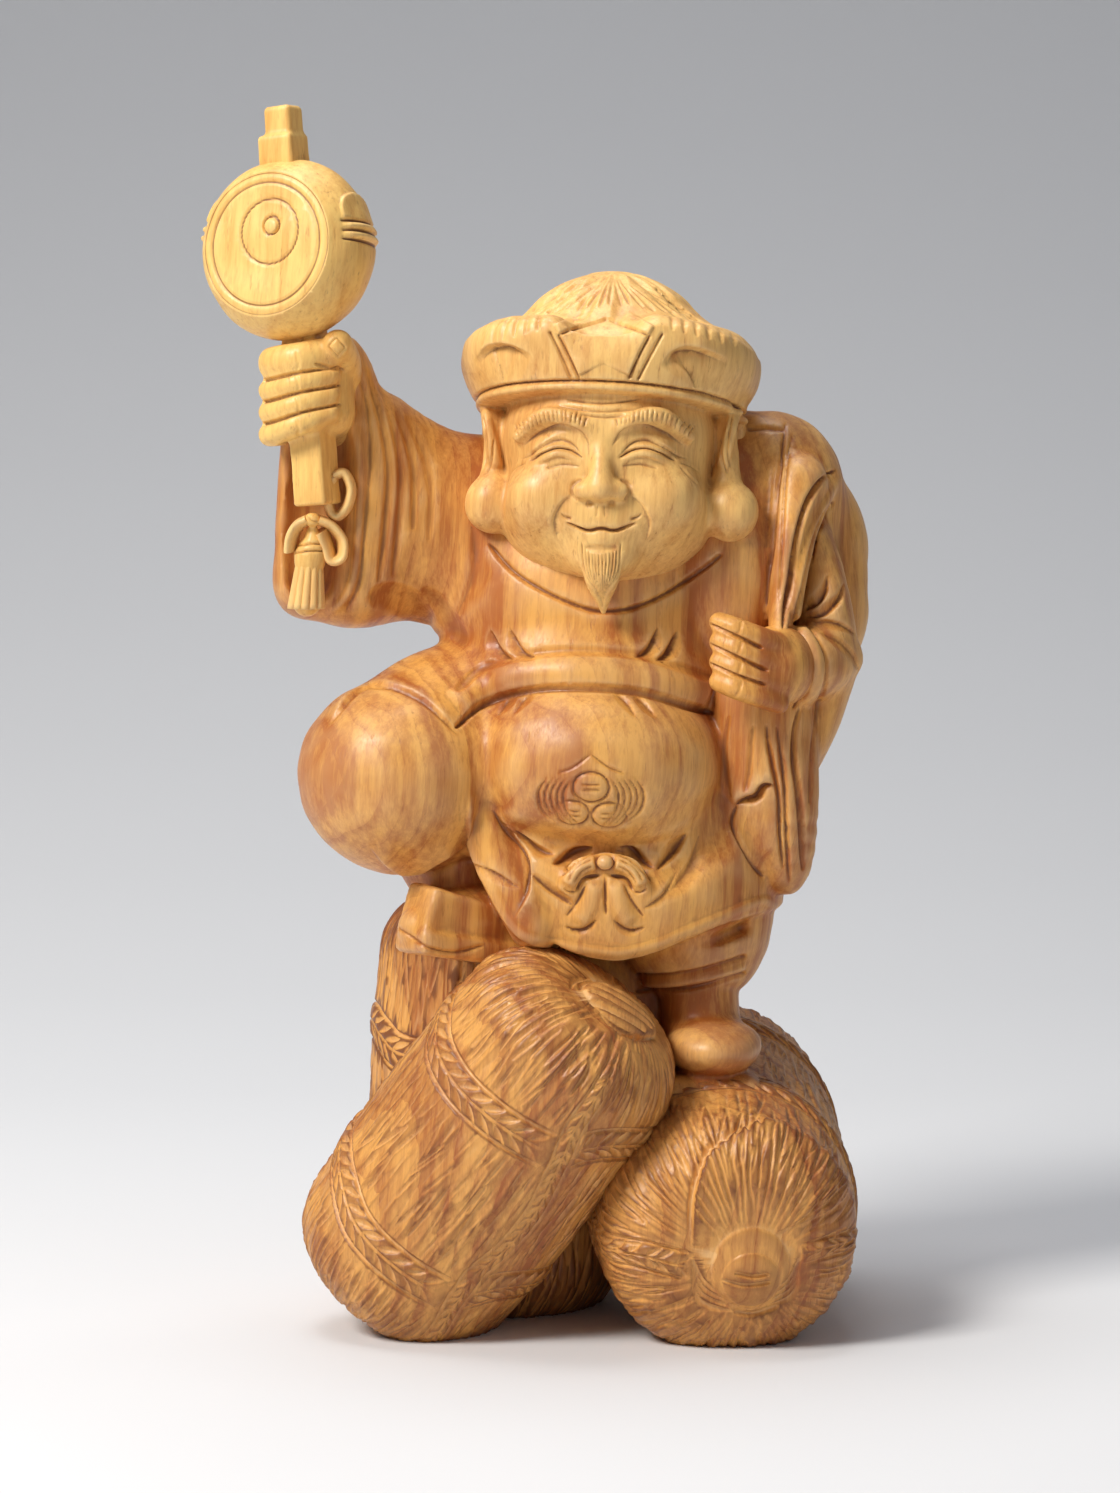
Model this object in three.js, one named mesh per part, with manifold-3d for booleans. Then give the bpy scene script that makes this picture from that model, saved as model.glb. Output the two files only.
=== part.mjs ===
// Carved wooden figure of the fortune god Daikoku, standing on three rice bales with a raised mallet.
// It is cut from one block, so it is one solid. Millimetres, +Z up, the front faces -Y.
// The robe, head and hands are one soft field that is turned into triangles and thinned out;
// the bales and the mallet are turned and boxed shapes that are joined to it.
import * as THREE from "three";
import { mergeVertices } from "three/addons/utils/BufferGeometryUtils.js";
import Module from "manifold-3d";

// Driving size. Everything else is a share of it, because the figure is a free form.
const figureHeight = 210;
const share = figureHeight / 210; // times a number, it turns parts of the height into millimetres

// Rice bales: the sizes of one bale, then where each one lies and how large it is beside that
const bale = {
  bodyRadius: 22.8 * share,
  halfLength: 37.5 * share,
  thinning: 0.08, // how much thinner the ends are than the middle
  endRounding: 12 * share,
  ropeWidth: 5.4 * share,
  ropeHeight: 0.7 * share,
  ropeAt: 15.5 * share, // from the middle of the bale to each ring of rope
  knobRadius: 5.4 * share,
  knobHeight: 1.8 * share,
  sides: 26,
};
const baleLying = [
  { name: "front", at: [-16.6, -17, 32], along: [0.57, -0.26, 0.78], size: 0.93 },
  { name: "right", at: [23.2, 2, 24.4], along: [-0.04, 0.975, 0.2], size: 1.02 },
  { name: "back", at: [-15, 14, 34.8], along: [0.03, 0.1, 0.99], size: 1.03 },
];

// Mallet: a barrel on a square handle
const mallet = {
  at: [-50.8, -13.2, 185.5],
  along: [-0.45, -0.885, 0.1],
  midRadius: 15.4 * share,
  faceRadius: 12.1 * share,
  length: 15.6 * share,
  rimWidth: 1.5 * share,
  ringRadius: 5.4 * share,
  bossRadius: 1.6 * share,
  grooveWidth: 0.8 * share,
  grooveDepth: 0.5 * share,
  sides: 32,
};
const handle = {
  low: [-45.8, -13.8, 142.2],
  high: [-51, -12.4, 209.8],
  width: 6.2 * share,
  pegHeight: 6.4 * share, // the top of the handle is thinner
  pegShare: 0.8,
};

// How fine each soft field is sampled, and how many triangles are kept of the whole figure.
// The figure's front, where the carving is, counts for more than its back and the bales.
const fineness = { robe: 1 * share, head: 0.7 * share, hands: 0.58 * share };
const keptTriangles = 9700;
const carvedFront = { y: -8 * share, z: 60 * share, weight: 14 };

// Field forms. Each has a box and a distance, negative inside, in millimetres.

const vector = (p) => new THREE.Vector3(...p).multiplyScalar(share);

// A box round some points, grown by a margin.
function boxAround(points, margin) {
  return new THREE.Box3().setFromPoints(points).expandByScalar(margin);
}

// The numbers that turn a world point into the form's own axes, with turns in degrees about X, Y and Z.
function ownAxes(turn) {
  const euler = new THREE.Euler(...turn.map(THREE.MathUtils.degToRad), "XYZ");
  return new THREE.Matrix4().makeRotationFromEuler(euler).elements;
}

// Distance to an ellipsoid with radii a, b, c, good near its surface.
function ellipsoidDistance(x, y, z, a, b, c) {
  const k0 = Math.hypot(x / a, y / b, z / c);
  const k1 = Math.hypot(x / (a * a), y / (b * b), z / (c * c));
  return k1 > 1e-9 ? (k0 * (k0 - 1)) / k1 : -Math.min(a, b, c);
}

function ellipsoid(at, radii, turn = [0, 0, 0]) {
  const centre = vector(at);
  const [a, b, c] = radii.map((r) => r * share);
  const m = ownAxes(turn);
  return {
    box: boxAround([centre], Math.max(a, b, c)),
    distance(x, y, z) {
      const dx = x - centre.x;
      const dy = y - centre.y;
      const dz = z - centre.z;
      return ellipsoidDistance(
        m[0] * dx + m[1] * dy + m[2] * dz,
        m[4] * dx + m[5] * dy + m[6] * dz,
        m[8] * dx + m[9] * dy + m[10] * dz,
        a,
        b,
        c,
      );
    },
  };
}

function roundedBox(at, half, rounding, turn = [0, 0, 0]) {
  const centre = vector(at);
  const r = rounding * share;
  const [a, b, c] = half.map((h) => h * share - r);
  const m = ownAxes(turn);
  return {
    box: boxAround([centre], Math.hypot(a, b, c) + r),
    distance(x, y, z) {
      const dx = x - centre.x;
      const dy = y - centre.y;
      const dz = z - centre.z;
      const qx = Math.abs(m[0] * dx + m[1] * dy + m[2] * dz) - a;
      const qy = Math.abs(m[4] * dx + m[5] * dy + m[6] * dz) - b;
      const qz = Math.abs(m[8] * dx + m[9] * dy + m[10] * dz) - c;
      const outside = Math.hypot(Math.max(qx, 0), Math.max(qy, 0), Math.max(qz, 0));
      return outside + Math.min(Math.max(qx, qy, qz), 0) - r;
    },
  };
}

// A tube that follows points, each [x, y, z, half width, half thickness]. The thickness is along facing.
function limb(points, facing = [0, 1, 0], steps = 10) {
  const curve = new THREE.CatmullRomCurve3(points.map((p) => vector(p.slice(0, 3))));
  const face = new THREE.Vector3(...facing).normalize();
  const rings = [];
  for (let i = 0; i <= steps; i++) {
    const t = i / steps;
    const s = t * (points.length - 1);
    const k = Math.min(Math.floor(s), points.length - 2);
    const mix = (n) => THREE.MathUtils.lerp(points[k][n], points[k + 1][n], s - k) * share;
    const along = curve.getTangent(t);
    const thick = face.clone().addScaledVector(along, -face.dot(along)).normalize();
    const wide = new THREE.Vector3().crossVectors(along, thick);
    rings.push({ at: curve.getPoint(t), along, thick, wide, w: mix(3), h: mix(4) });
  }
  const widest = Math.max(...rings.map((r) => Math.max(r.w, r.h)));
  const spans = rings.slice(1).map((b, i) => {
    const a = rings[i];
    const d = b.at.clone().sub(a.at);
    return { a, b, d, inverse: 1 / d.lengthSq() };
  });
  return {
    box: boxAround(rings.map((r) => r.at), widest),
    distance(x, y, z) {
      let least = Infinity;
      for (const { a, b, d, inverse } of spans) {
        const px = x - a.at.x;
        const py = y - a.at.y;
        const pz = z - a.at.z;
        const t = Math.min(1, Math.max(0, (px * d.x + py * d.y + pz * d.z) * inverse));
        const qx = px - t * d.x;
        const qy = py - t * d.y;
        const qz = pz - t * d.z;
        const w = a.w + t * (b.w - a.w);
        const h = a.h + t * (b.h - a.h);
        const found = ellipsoidDistance(
          qx * a.wide.x + qy * a.wide.y + qz * a.wide.z,
          qx * a.thick.x + qy * a.thick.y + qz * a.thick.z,
          qx * a.along.x + qy * a.along.y + qz * a.along.z,
          w,
          h,
          Math.min(w, h),
        );
        if (found < least) least = found;
      }
      return least;
    },
  };
}

// Keeps only the part of a form where limit is negative.
function within(form, limit) {
  return { box: form.box, distance: (x, y, z) => Math.max(form.distance(x, y, z), limit(x, y, z)) };
}

// The sampled field, and the ways to work on it
class Field {
  constructor(low, high, step) {
    this.low = vector(low);
    this.step = step;
    const size = vector(high).sub(this.low).divideScalar(step);
    this.size = [Math.ceil(size.x), Math.ceil(size.y), Math.ceil(size.z)];
    this.values = new Float32Array(this.size[0] * this.size[1] * this.size[2]).fill(10 * share);
  }

  // Calls work(value, x, y, z) for every sample in the box, and keeps what it returns.
  change(box, margin, work) {
    const { low, step, size, values } = this;
    const axes = ["x", "y", "z"];
    const from = axes.map((k) => Math.max(0, Math.floor((box.min[k] - margin - low[k]) / step)));
    const to = axes.map((k, i) => Math.min(size[i], Math.ceil((box.max[k] + margin - low[k]) / step)));
    for (let k = from[2]; k < to[2]; k++) {
      for (let j = from[1]; j < to[1]; j++) {
        const row = (k * size[1] + j) * size[0];
        for (let i = from[0]; i < to[0]; i++) {
          const here = values[row + i];
          values[row + i] = work(here, low.x + i * step, low.y + j * step, low.z + k * step);
        }
      }
    }
  }

  // Joins a form, with a fillet of about the soft radius where it meets what is there.
  join(form, soft = 1) {
    const s = soft * share;
    this.change(form.box, s + 3 * this.step, (v, x, y, z) => {
      const d = form.distance(x, y, z);
      const near = Math.max(s - Math.abs(v - d), 0);
      return Math.min(v, d) - (near * near) / (4 * s);
    });
  }

  // Cuts a form away, with a rounded edge.
  cut(form, soft = 0.6) {
    const s = soft * share;
    this.change(form.box, s + 3 * this.step, (v, x, y, z) => {
      const d = -form.distance(x, y, z);
      const near = Math.max(s - Math.abs(v - d), 0);
      return Math.max(v, d) + (near * near) / (4 * s);
    });
  }

  // Where a column of samples, seen from the front, first meets the surface.
  columnFront(i, k) {
    const { low, step, size, values } = this;
    for (let j = 1; j < size[1]; j++) {
      const at = (k * size[1] + j) * size[0] + i;
      if (values[at] < 0) {
        const before = values[at - size[0]];
        return low.y + (j - 1 + before / (before - values[at])) * step;
      }
    }
    return 0;
  }

  // Where a line from the front, at a given x and z, first meets the surface, between four columns.
  frontAt(x, z) {
    const across = (x - this.low.x) / this.step;
    const up = (z - this.low.z) / this.step;
    const [i, k] = [Math.floor(across), Math.floor(up)];
    const mix = THREE.MathUtils.lerp;
    const below = mix(this.columnFront(i, k), this.columnFront(i + 1, k), across - i);
    const above = mix(this.columnFront(i, k + 1), this.columnFront(i + 1, k + 1), across - i);
    return mix(below, above, up - k);
  }

  // Carves a line that is drawn on the surface from the front, through points [x, z]. It is a groove of the
  // given width and depth; a negative depth makes a ridge. The ends of the line run out unless blunt is set.
  draw(points, width, depth, blunt = false) {
    const line = new THREE.CatmullRomCurve3(points.map(([x, z]) => vector([x, 0, z])));
    const count = Math.ceil(line.getLength() / this.step);
    const half = (width / 2) * share;
    const dots = line.getSpacedPoints(count).map((p, n) => {
      const fade = blunt ? 1 : Math.min(1, (4 * Math.min(n, count - n)) / count + 0.25);
      return { x: p.x, y: this.frontAt(p.x, p.z), z: p.z, fade };
    });
    const box = boxAround(dots.map((p) => new THREE.Vector3(p.x, p.y, p.z)), half);
    this.change(box, this.step, (v, x, y, z) => {
      let least = Infinity;
      let fade = 1;
      for (const dot of dots) {
        const d = (x - dot.x) ** 2 + (y - dot.y) ** 2 + (z - dot.z) ** 2;
        if (d < least) {
          least = d;
          fade = dot.fade;
        }
      }
      const t = least / (half * half);
      return t < 1 ? v + depth * share * fade * (1 - t) ** 2 : v;
    });
  }
}

// The robe, from the ground up

function robe(field) {
  field.join(ellipsoid([2, 2, 124], [25, 19, 22]), 1); // chest and back
  field.join(ellipsoid([3, 9, 95], [25, 20, 26]), 8); // hips
  const hemAt = (x) => {
    const off = x / share - 5;
    return (65.2 + (off < 0 ? 0.03 : 0.02) * off * off) * share;
  };
  const skirt = ellipsoid([5, -1, 84], [29, 24, 32]);
  field.join(within(skirt, (x, y, z) => hemAt(x) - z), 5);
  field.join(ellipsoid([1.8, -3, 111], [23, 18.6, 13]), 4); // waist
  field.join(ellipsoid([1.6, -9, 98], [22.6, 20.5, 17.5]), 2); // belly
  field.join(ellipsoid([3, 1, 140], [20, 13, 12]), 5); // shoulders
}

function legs(field) {
  // raised right leg, with its big round knee
  field.join(ellipsoid([-31.5, -9, 95.5], [18, 18.5, 17], [0, 8, 0]), 1.5);
  field.join(limb([[-8, 0, 96, 17, 16], [-24, -4, 98, 17, 16]]), 4);
  field.join(limb([[-24, -2, 84, 10, 10], [-19, -6, 72, 8, 8]]), 1); // shin
  const boot = [[-8, -6, 71, 6, 7], [-19, -12, 71, 6.4, 6], [-27.8, -17, 69.8, 4.4, 4.2]];
  field.join(limb(boot, [0, 0, 1]), 0.6);
  field.join(roundedBox([-21, -14.6, 66.4], [10.6, 5.6, 2.2], 1.2, [-8, 8, 30]), 0.4); // sole
  // standing left leg
  field.join(limb([[16, -1, 80, 18, 16], [19.4, -3, 69, 13.4, 13], [19, -4, 64, 9, 10]]), 2);
  field.join(limb([[20, -4.5, 60, 6.8, 8], [20.5, -6, 48, 6.8, 8.5]]), 0.5);
  field.join(ellipsoid([21.5, -13, 49.4], [6.8, 9.5, 5.2]), 0.6); // foot
  field.join(roundedBox([20, -9, 40.6], [11, 10.5, 4], 3), 1.5); // ledge of straw under it
}

function raisedSleeve(field) {
  field.join(limb([[-8, 4, 135, 20, 11], [-24, 2, 138, 17, 9.5], [-36.5, -1, 141, 19, 8.5]]), 6);
  field.join(roundedBox([-42.3, -2, 142], [10.3, 8.5, 20], 6.5, [0, 5, 0]), 6);
  const forearm = [[-36, -1, 148, 8, 8], [-38.6, -4, 158, 5, 6], [-40, -7, 166, 3.2, 4.4]];
  field.join(limb([...forearm, [-40.6, -8, 169, 2, 3]]), 2);
  field.cut(limb([[-46, -12, 153, 6, 6], [-47.6, -12, 138, 6.4, 6], [-47.8, -12, 130, 5, 5]]), 1.2); // mouth
}

function holdingSleeve(field) {
  field.join(ellipsoid([24, -1, 134], [10.5, 12, 20]), 3); // shoulder
  const upperArm = [[40.4, -3, 136, 2.8, 5], [41, -4, 130, 4.2, 6], [42, -5, 122, 5, 7]];
  field.join(limb([...upperArm, [42.6, -5, 118, 5.2, 7.5]]), 1);
  field.join(limb([[43.4, -4, 115.4, 5, 6.6], [40, -9, 115.2, 6.4, 6.6], [36.4, -13, 115, 6.6, 6]]), 1.5);
  field.join(limb([[42.6, -3, 112, 4.4, 7], [40.6, -3, 104, 3.6, 7], [38.4, -3, 97, 2.4, 6.5]]), 1.5);
  const hanging = [
    [30.6, -9.5, 110, 9.2, 7],
    [30.8, -10, 98, 9.6, 7],
    [31.6, -10, 89, 8.8, 6.6],
    [33.8, -9, 81.6, 6, 5.6],
    [34.8, -8, 78.4, 3.4, 4.4],
  ];
  field.join(limb(hanging), 1.5);
}

function sack(field) {
  field.join(ellipsoid([22, 20, 123], [28, 20, 31], [0, 4, 0]), 2);
  field.join(ellipsoid([36, 11, 133.5], [14.4, 13, 17.5]), 3);
  // the neck, pulled over the shoulder to the hand
  field.join(ellipsoid([26, 6, 145], [10, 10, 13.6]), 3);
  field.join(ellipsoid([32.8, 4, 144.4], [12.8, 12, 14]), 3);
  const neck = [[33, -19, 119, 2, 3], [33.6, -15.5, 126, 2, 3], [34.6, -12.5, 136, 3, 4]];
  field.join(limb([...neck, [37, -7, 146, 5, 5]]), 1);
  // rim of its mouth, which turns over beside the arm
  const rim = [[44.4, 2, 146.4], [42.6, -2, 145.4], [40.4, -7, 142], [38.3, -10, 137], [37.2, -12, 132]];
  field.join(limb([...rim, [36, -14, 124]].map((p) => [...p, 1.1, 2.4])), 0.5);
}

// Lines and folds that are carved into the robe, each through points [x, z] seen from the front
function robeCarving(field) {
  const groove = (points, width = 2.8, depth = 1.2) => field.draw(points, width, depth);
  const ridge = (points, width = 3, depth = 1) => field.draw(points, width, -depth);
  // collar
  const collar = [[-16, 138], [-11.8, 130.5], [-5.9, 125.8], [3.3, 124.1], [12.7, 126.3], [19.5, 130]];
  field.draw([...collar, [23.4, 134]], 2.4, 1);
  // belt, with a groove over and under it
  const belt = [[-21, 109.4], [-14.3, 111.4], [-6.7, 113.4], [0.9, 113.9], [9.3, 113.2], [21, 109.8]];
  field.draw(belt, 5.6, -1.6, true);
  for (const off of [-3, 2.8]) field.draw(belt.map(([x, z]) => [x, z + off]), 2.4, 0.9, true);
  // short folds over and under the belt
  groove([[-14.4, 120.4], [-12.3, 117.4], [-9.6, 115.8]]);
  groove([[15.8, 120.6], [13.1, 117.5], [10.2, 115.8]]);
  groove([[-15, 107], [-12.3, 105.4], [-11, 101.5]]);
  groove([[7.4, 109.8], [10.6, 107.8], [11.6, 103.6]]);
  // lapel and hem
  groove([[-20.8, 96], [-18.6, 86], [-15.4, 78], [-9, 71.4], [0, 67.6]], 2.4, 1);
  ridge([[-14.4, 84], [-12, 78.6], [-8, 74.4], [-2, 71]], 3, 0.8);
  ridge([[-15.6, 75.8], [-9, 69.8], [2.6, 66.6], [9, 66.6], [17, 70.6], [26.4, 74.8]], 2.4, 0.8);
  // bow and its two tails
  const bow = [
    [[2.6, 81.6], [-1, 83], [-4.6, 80.4], [-4, 77.4], [-0.6, 78.4], [2.4, 80.6]],
    [[4.4, 81.6], [8, 83], [11.4, 80.8], [11, 77.6], [7.6, 78.4], [4.6, 80.6]],
    [[3, 80.4], [0.6, 76.6], [-0.8, 73.4], [2.4, 71]],
    [[4.2, 80.4], [6.8, 76.4], [9.4, 72.8], [12, 71]],
  ];
  for (const line of bow) field.draw(line, 2.6, -1.1, true);
  const knotFront = field.frontAt(3.5 * share, 81.4 * share) / share;
  field.join(ellipsoid([3.5, knotFront - 0.4, 81.4], [2, 1.8, 1.8]), 0.4);
  for (const side of [-1, 1]) {
    groove([[3.5 + side * 7, 86], [3.5 + side * 11.5, 80], [3.5 + side * 13, 73]], 3, 1);
    groove([[3.5 + side * 3.4, 74], [3.5 + side * 4.6, 70], [3.5 + side * 4.2, 67.4]], 2.6, 0.8);
  }
  // crest of three flaming jewels on the belly
  for (const [x, z] of [[0.8, 96.6], [-2.9, 90.8], [4.5, 90.8]]) {
    const y = field.frontAt(x * share, z * share) / share;
    field.join(ellipsoid([x, y + 0.9, z], [2.7, 1.7, 2.5]), 0.3);
  }
  for (const side of [-1, 1]) {
    ridge([[0.8 + side * 3, 87.6], [0.8 + side * 8, 89.6], [0.8 + side * 9.6, 95.6]], 2.6, 0.8);
  }
  ridge([[-3, 98.2], [0.8, 102], [4.6, 98.2]], 2.6, 0.8);
  // edge of the robe over the knee, and the lip of the trouser leg under it
  ridge([[-42, 108.4], [-35.8, 110.2], [-30.7, 109.4], [-25.6, 106.4], [-22.4, 102]], 2.6, 0.8);
  groove([[-41.6, 106.6], [-35.8, 108.4], [-30.7, 107.6], [-26.6, 105], [-23.6, 101]], 2, 0.8);
  ridge([[-34.4, 80.6], [-29.7, 78.8], [-24.6, 79], [-20, 82.4]], 3, 1);
  // edge of the trouser leg under the hem, with the cuff below it
  ridge([[11, 61.2], [19.6, 61.4], [27, 63.6]], 2.6, 0.7);
  // sleeve over the holding hand: its lip, folds and the notch near its tip
  ridge([[35.9, 122.3], [39.1, 119.8], [41, 114.7], [40.1, 110.7], [39.7, 104], [38.6, 95]], 2.4, 0.9);
  groove([[24.4, 106], [24, 97], [26, 91]], 2.4, 0.7);
  groove([[31, 105], [32.4, 97], [33.6, 86], [34.4, 80]], 2.2, 0.9);
  groove([[36.6, 107], [35.9, 99], [37, 88], [37.4, 81]], 2.2, 0.9);
  groove([[26, 91.2], [28.8, 93], [32.3, 94.8]], 2, 1.1);
  groove([[41.6, 129], [40.3, 125.8], [37.4, 123.8]], 2.2, 0.9);
  groove([[44.4, 127.6], [42.5, 124.5], [38.4, 123]], 2.2, 0.9);
  // neck of the sack
  groove([[34.8, 156], [33.4, 147], [32.2, 135], [31.2, 125]], 2, 0.9);
  groove([[36.2, 154.6], [34.6, 146], [33.8, 136], [32.8, 124]], 1.8, 0.7);
  groove([[44, 148], [40.2, 146.4], [37.6, 141], [36.2, 134], [34.8, 125]], 2, 1);
  // raised sleeve: shallow upright folds beside its mouth
  for (const [x, depth] of [[-38.8, 0.8], [-34, 0.7], [-28.6, 0.5]]) {
    groove([[x, 152], [x + 0.8, 140], [x + 2.8, 127]], 3.4, depth);
  }
  groove([[-24, 124], [-19.6, 130], [-17, 138]], 3, 0.6);
}

// The head, in its own frame: the origin in the middle of the skull, the face towards -Y.

const skull = { at: [4.3, -6, 147], yaw: 5 };

function headPoint([x, y, z]) {
  const turn = THREE.MathUtils.degToRad(-skull.yaw);
  const [cos, sin] = [Math.cos(turn), Math.sin(turn)];
  return [skull.at[0] + x * cos - y * sin, skull.at[1] + x * sin + y * cos, skull.at[2] + z];
}

const onHead = {
  ellipsoid: (at, radii, turn = [0, 0, 0]) =>
    ellipsoid(headPoint(at), radii, [turn[0], turn[1], turn[2] - skull.yaw]),
  limb: (points, steps = 8) => limb(points.map((p) => [...headPoint(p), p[3], p[4]]), [0, 1, 0], steps),
};

function head(field) {
  field.join(onHead.ellipsoid([0, 0, 1], [17.6, 18.2, 20.5]), 1);
  field.join(onHead.ellipsoid([0, -1, 7], [18.3, 17.8, 15.5]), 2); // forehead
  field.join(onHead.ellipsoid([0, 4, 6], [19.6, 15, 14]), 2); // temples and hair
  field.join(onHead.ellipsoid([0, -3.4, -6.5], [18.6, 15, 11.8]), 3); // jaw
  field.join(onHead.ellipsoid([0, -14.4, -13.2], [5.6, 4, 4]), 3); // chin
  for (const side of [-1, 1]) {
    field.join(onHead.ellipsoid([side * 9.6, -12.4, -3.4], [6.9, 6.2, 6.4]), 3); // cheek
    field.cut(onHead.ellipsoid([side * 7.3, -20.6, 6.4], [5.2, 2.8, 2.8]), 2); // eye socket
    field.join(onHead.ellipsoid([side * 7.3, -14.6, 4.8], [4.6, 3.2, 2.7]), 0.8); // eyelid
    field.join(onHead.ellipsoid([side * 2.9, -18.5, -2.2], [2.1, 2.2, 1.8]), 0.8); // side of the nose
    ear(field, side);
  }
  const nose = [[0, -16.6, 7, 1.5, 1.3], [0, -18.8, 1.6, 1.8, 1.9], [0, -19.6, -1.6, 2.7, 2.4]];
  field.join(onHead.limb(nose), 1.2);
}

// An ear: a rim round a hollow, and a long lobe
function ear(field, side) {
  const at = ([x, ...rest]) => [side * x + 0.4, ...rest];
  field.join(onHead.ellipsoid(at([20, -0.6, 6]), [2.2, 4.6, 7.2]), 1.2);
  const rim = [[19.6, -5.4, 2.6], [20.8, -5.2, 8.4], [21.6, -2, 11.8], [22, 2.8, 11.4], [21.6, 4.8, 5]];
  field.join(onHead.limb(rim.map((p) => [...at(p), 1.1, 1.1])), 0.5);
  field.join(onHead.limb([[20.2, -2.6, 4, 1.6, 1.6], [20, -4, -0.6, 2.6, 2.6]].map(at)), 0.7);
  field.join(onHead.ellipsoid([side * 20.3 + 0.8, -5.4, -5.2 - side * 0.65], [4.9, 4.3, 5.2]), 0.7);
}

// Draws a line on the front of the head, through points [x, z] from the middle of the skull
function drawOnHead(field, points, width, depth, blunt) {
  const placed = points.map(([x, z]) => headPoint([x, -17 * Math.cos(x / 20), z]));
  field.draw(placed.map(([x, , z]) => [x, z]), width, depth, blunt);
}

// Lines of the face
function faceCarving(field) {
  const draw = (points, width, depth, blunt) => drawOnHead(field, points, width, depth, blunt);
  for (const side of [-1, 1]) {
    draw([[side * 3.6, 9.2], [side * 7, 11.4], [side * 10.6, 11], [side * 13.6, 8]], 2.2, -0.8); // brow
    draw([[side * 4, 4.2], [side * 7, 5.4], [side * 10.8, 3.6]], 1.3, 0.9); // closed lids
    draw([[side * 3.6, -1.2], [side * 5.4, -3.4], [side * 7.4, -7.2]], 1.6, 0.6); // smile fold
  }
  draw([[-5.6, -6.6], [-2.4, -8], [0, -7.6], [2.4, -8], [5.6, -6.6]], 2.2, -0.8, true); // upper lip
  draw([[-4, -9.6], [0, -10.8], [4, -9.6]], 2.2, -0.9, true); // lower lip
  draw([[-6.2, -7.2], [-2.4, -9.2], [0, -9], [2.4, -9.2], [6.2, -7.2]], 1.3, 0.9); // between the lips
  const y = field.frontAt(skull.at[0] * share, (skull.at[2] - 17) * share) / share - skull.at[1];
  const beard = [[0, y, -13, 3.6, 1.7], [0, y + 0.4, -17, 3, 2], [0, y + 3.6, -22.6, 0.7, 0.9]];
  field.join(onHead.limb(beard), 0.6);
}

// The hat, in the head's own frame: a band that leans back and a puffed crown over it
const band = {
  low: 10.2, // height of its lower edge over the middle of the skull
  across: -0.04, // how its edge rises from side to side
  back: -0.2, // how its edge rises from front to back
  height: 9.5,
};

function hat(field) {
  const turn = THREE.MathUtils.degToRad(skull.yaw);
  const [cos, sin] = [Math.cos(turn), Math.sin(turn)];
  const above = (x, y, z) => {
    // height over the lower edge of the band
    const [dx, dy] = [x / share - skull.at[0], y / share - skull.at[1]];
    const edge = band.low + band.across * (dx * cos - dy * sin) + band.back * (dx * sin + dy * cos);
    return z - (skull.at[2] + edge) * share;
  };
  // crown, and the puffed part round it
  field.join(onHead.ellipsoid([-0.1, 6.5, 19.8], [17.6, 18, 15.8]), 0.5);
  const puff = onHead.ellipsoid([0.1, 4, 18.6], [24.4, 22.6, 11]);
  field.join(within(puff, (x, y, z) => (skull.at[2] + 16.5) * share - z), 2);
  const sides = onHead.ellipsoid([0.2, 3, 18.4], [24.9, 22.8, 17]);
  const high = band.height * share;
  field.join(within(sides, (x, y, z) => Math.max(-above(x, y, z), above(x, y, z) - high)), 0.6);
  for (const [side, drop] of [[-1, 0], [1, 1.2]]) {
    const roll = [
      [9, -15.2, 24.6, 2.6, 2.6],
      [16, -12, 23.4 - drop, 3.6, 3.6],
      [20.6, -3, 21.2 - drop, 3.6, 3.6],
      [20, 9, 18.6 - drop, 3.4, 3.4],
      [14, 20, 17, 2.6, 2.6],
    ];
    field.join(onHead.limb(roll.map(([x, ...rest]) => [side * x, ...rest])), 5);
  }
  // piping along the lower edge, under a groove
  for (const [at, width, depth] of [[0.8, 0.8, -0.4], [2, 0.6, 0.6]]) {
    field.change(sides.box, 0, (v, x, y, z) => {
      const t = (above(x, y, z) / share - at) / width;
      return t * t < 1 && sides.distance(x, y, z) > -3 * share ? v + depth * share * (1 - t * t) : v;
    });
  }
}

// Lines carved in the hat: the five-sided front panel, and the dents beside it
function hatCarving(field) {
  const panel = [
    [[-7.1, 23.8], [-3.4, 25.4], [0.6, 26.9], [4.2, 25.3], [8.1, 23.6]],
    [[-7.1, 23.8], [-5.4, 20.4], [-3.7, 17]],
    [[8.1, 23.6], [6.4, 20.3], [4.8, 17]],
  ];
  for (const line of panel) drawOnHead(field, line, 1.7, 0.8, true);
  for (const side of [-1, 1]) {
    const [x, , z] = headPoint([side * 16, -12, 20.6]);
    const y = field.frontAt(x * share, z * share) / share;
    field.cut(ellipsoid([x, y - 4, z], [5.4, 5.2, 3.2], [0, side * 14, 0]), 1.5);
  }
}

// The raised right fist round the mallet's handle, with the cord and tassel that hang from it

function fist(field) {
  field.join(roundedBox([-46.2, -11.4, 161.4], [6.4, 5.6, 7.6], 4, [0, -6, 12]), 0.6);
  field.join(limb([[-44, -8, 161, 5.6, 5], [-40, -3, 157, 6, 5]]), 3); // wrist
  for (let finger = 0; finger < 4; finger++) {
    const [left, right] = [166 - 3.75 * finger, 168 - 3.4 * finger];
    const wide = finger ? 1.95 : 2.7;
    field.join(
      limb([
        [-52.6, -8.6, left, wide, 2.4],
        [-53.1, -14.4, left, wide, 2.4],
        [-48.4, -18.1, (left + right) / 2, wide, 2.3],
        [-43.4, -17, right, wide * 0.95, 2.3],
      ]),
      0.3,
    );
  }
  const thumb = [[-39.2, -6, 161.4, 3.2, 3.6], [-39.6, -12.6, 167, 2.9, 2.9], [-42, -18.2, 169.4, 2.7, 2.4]];
  field.join(limb(thumb), 0.5);
}

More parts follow.
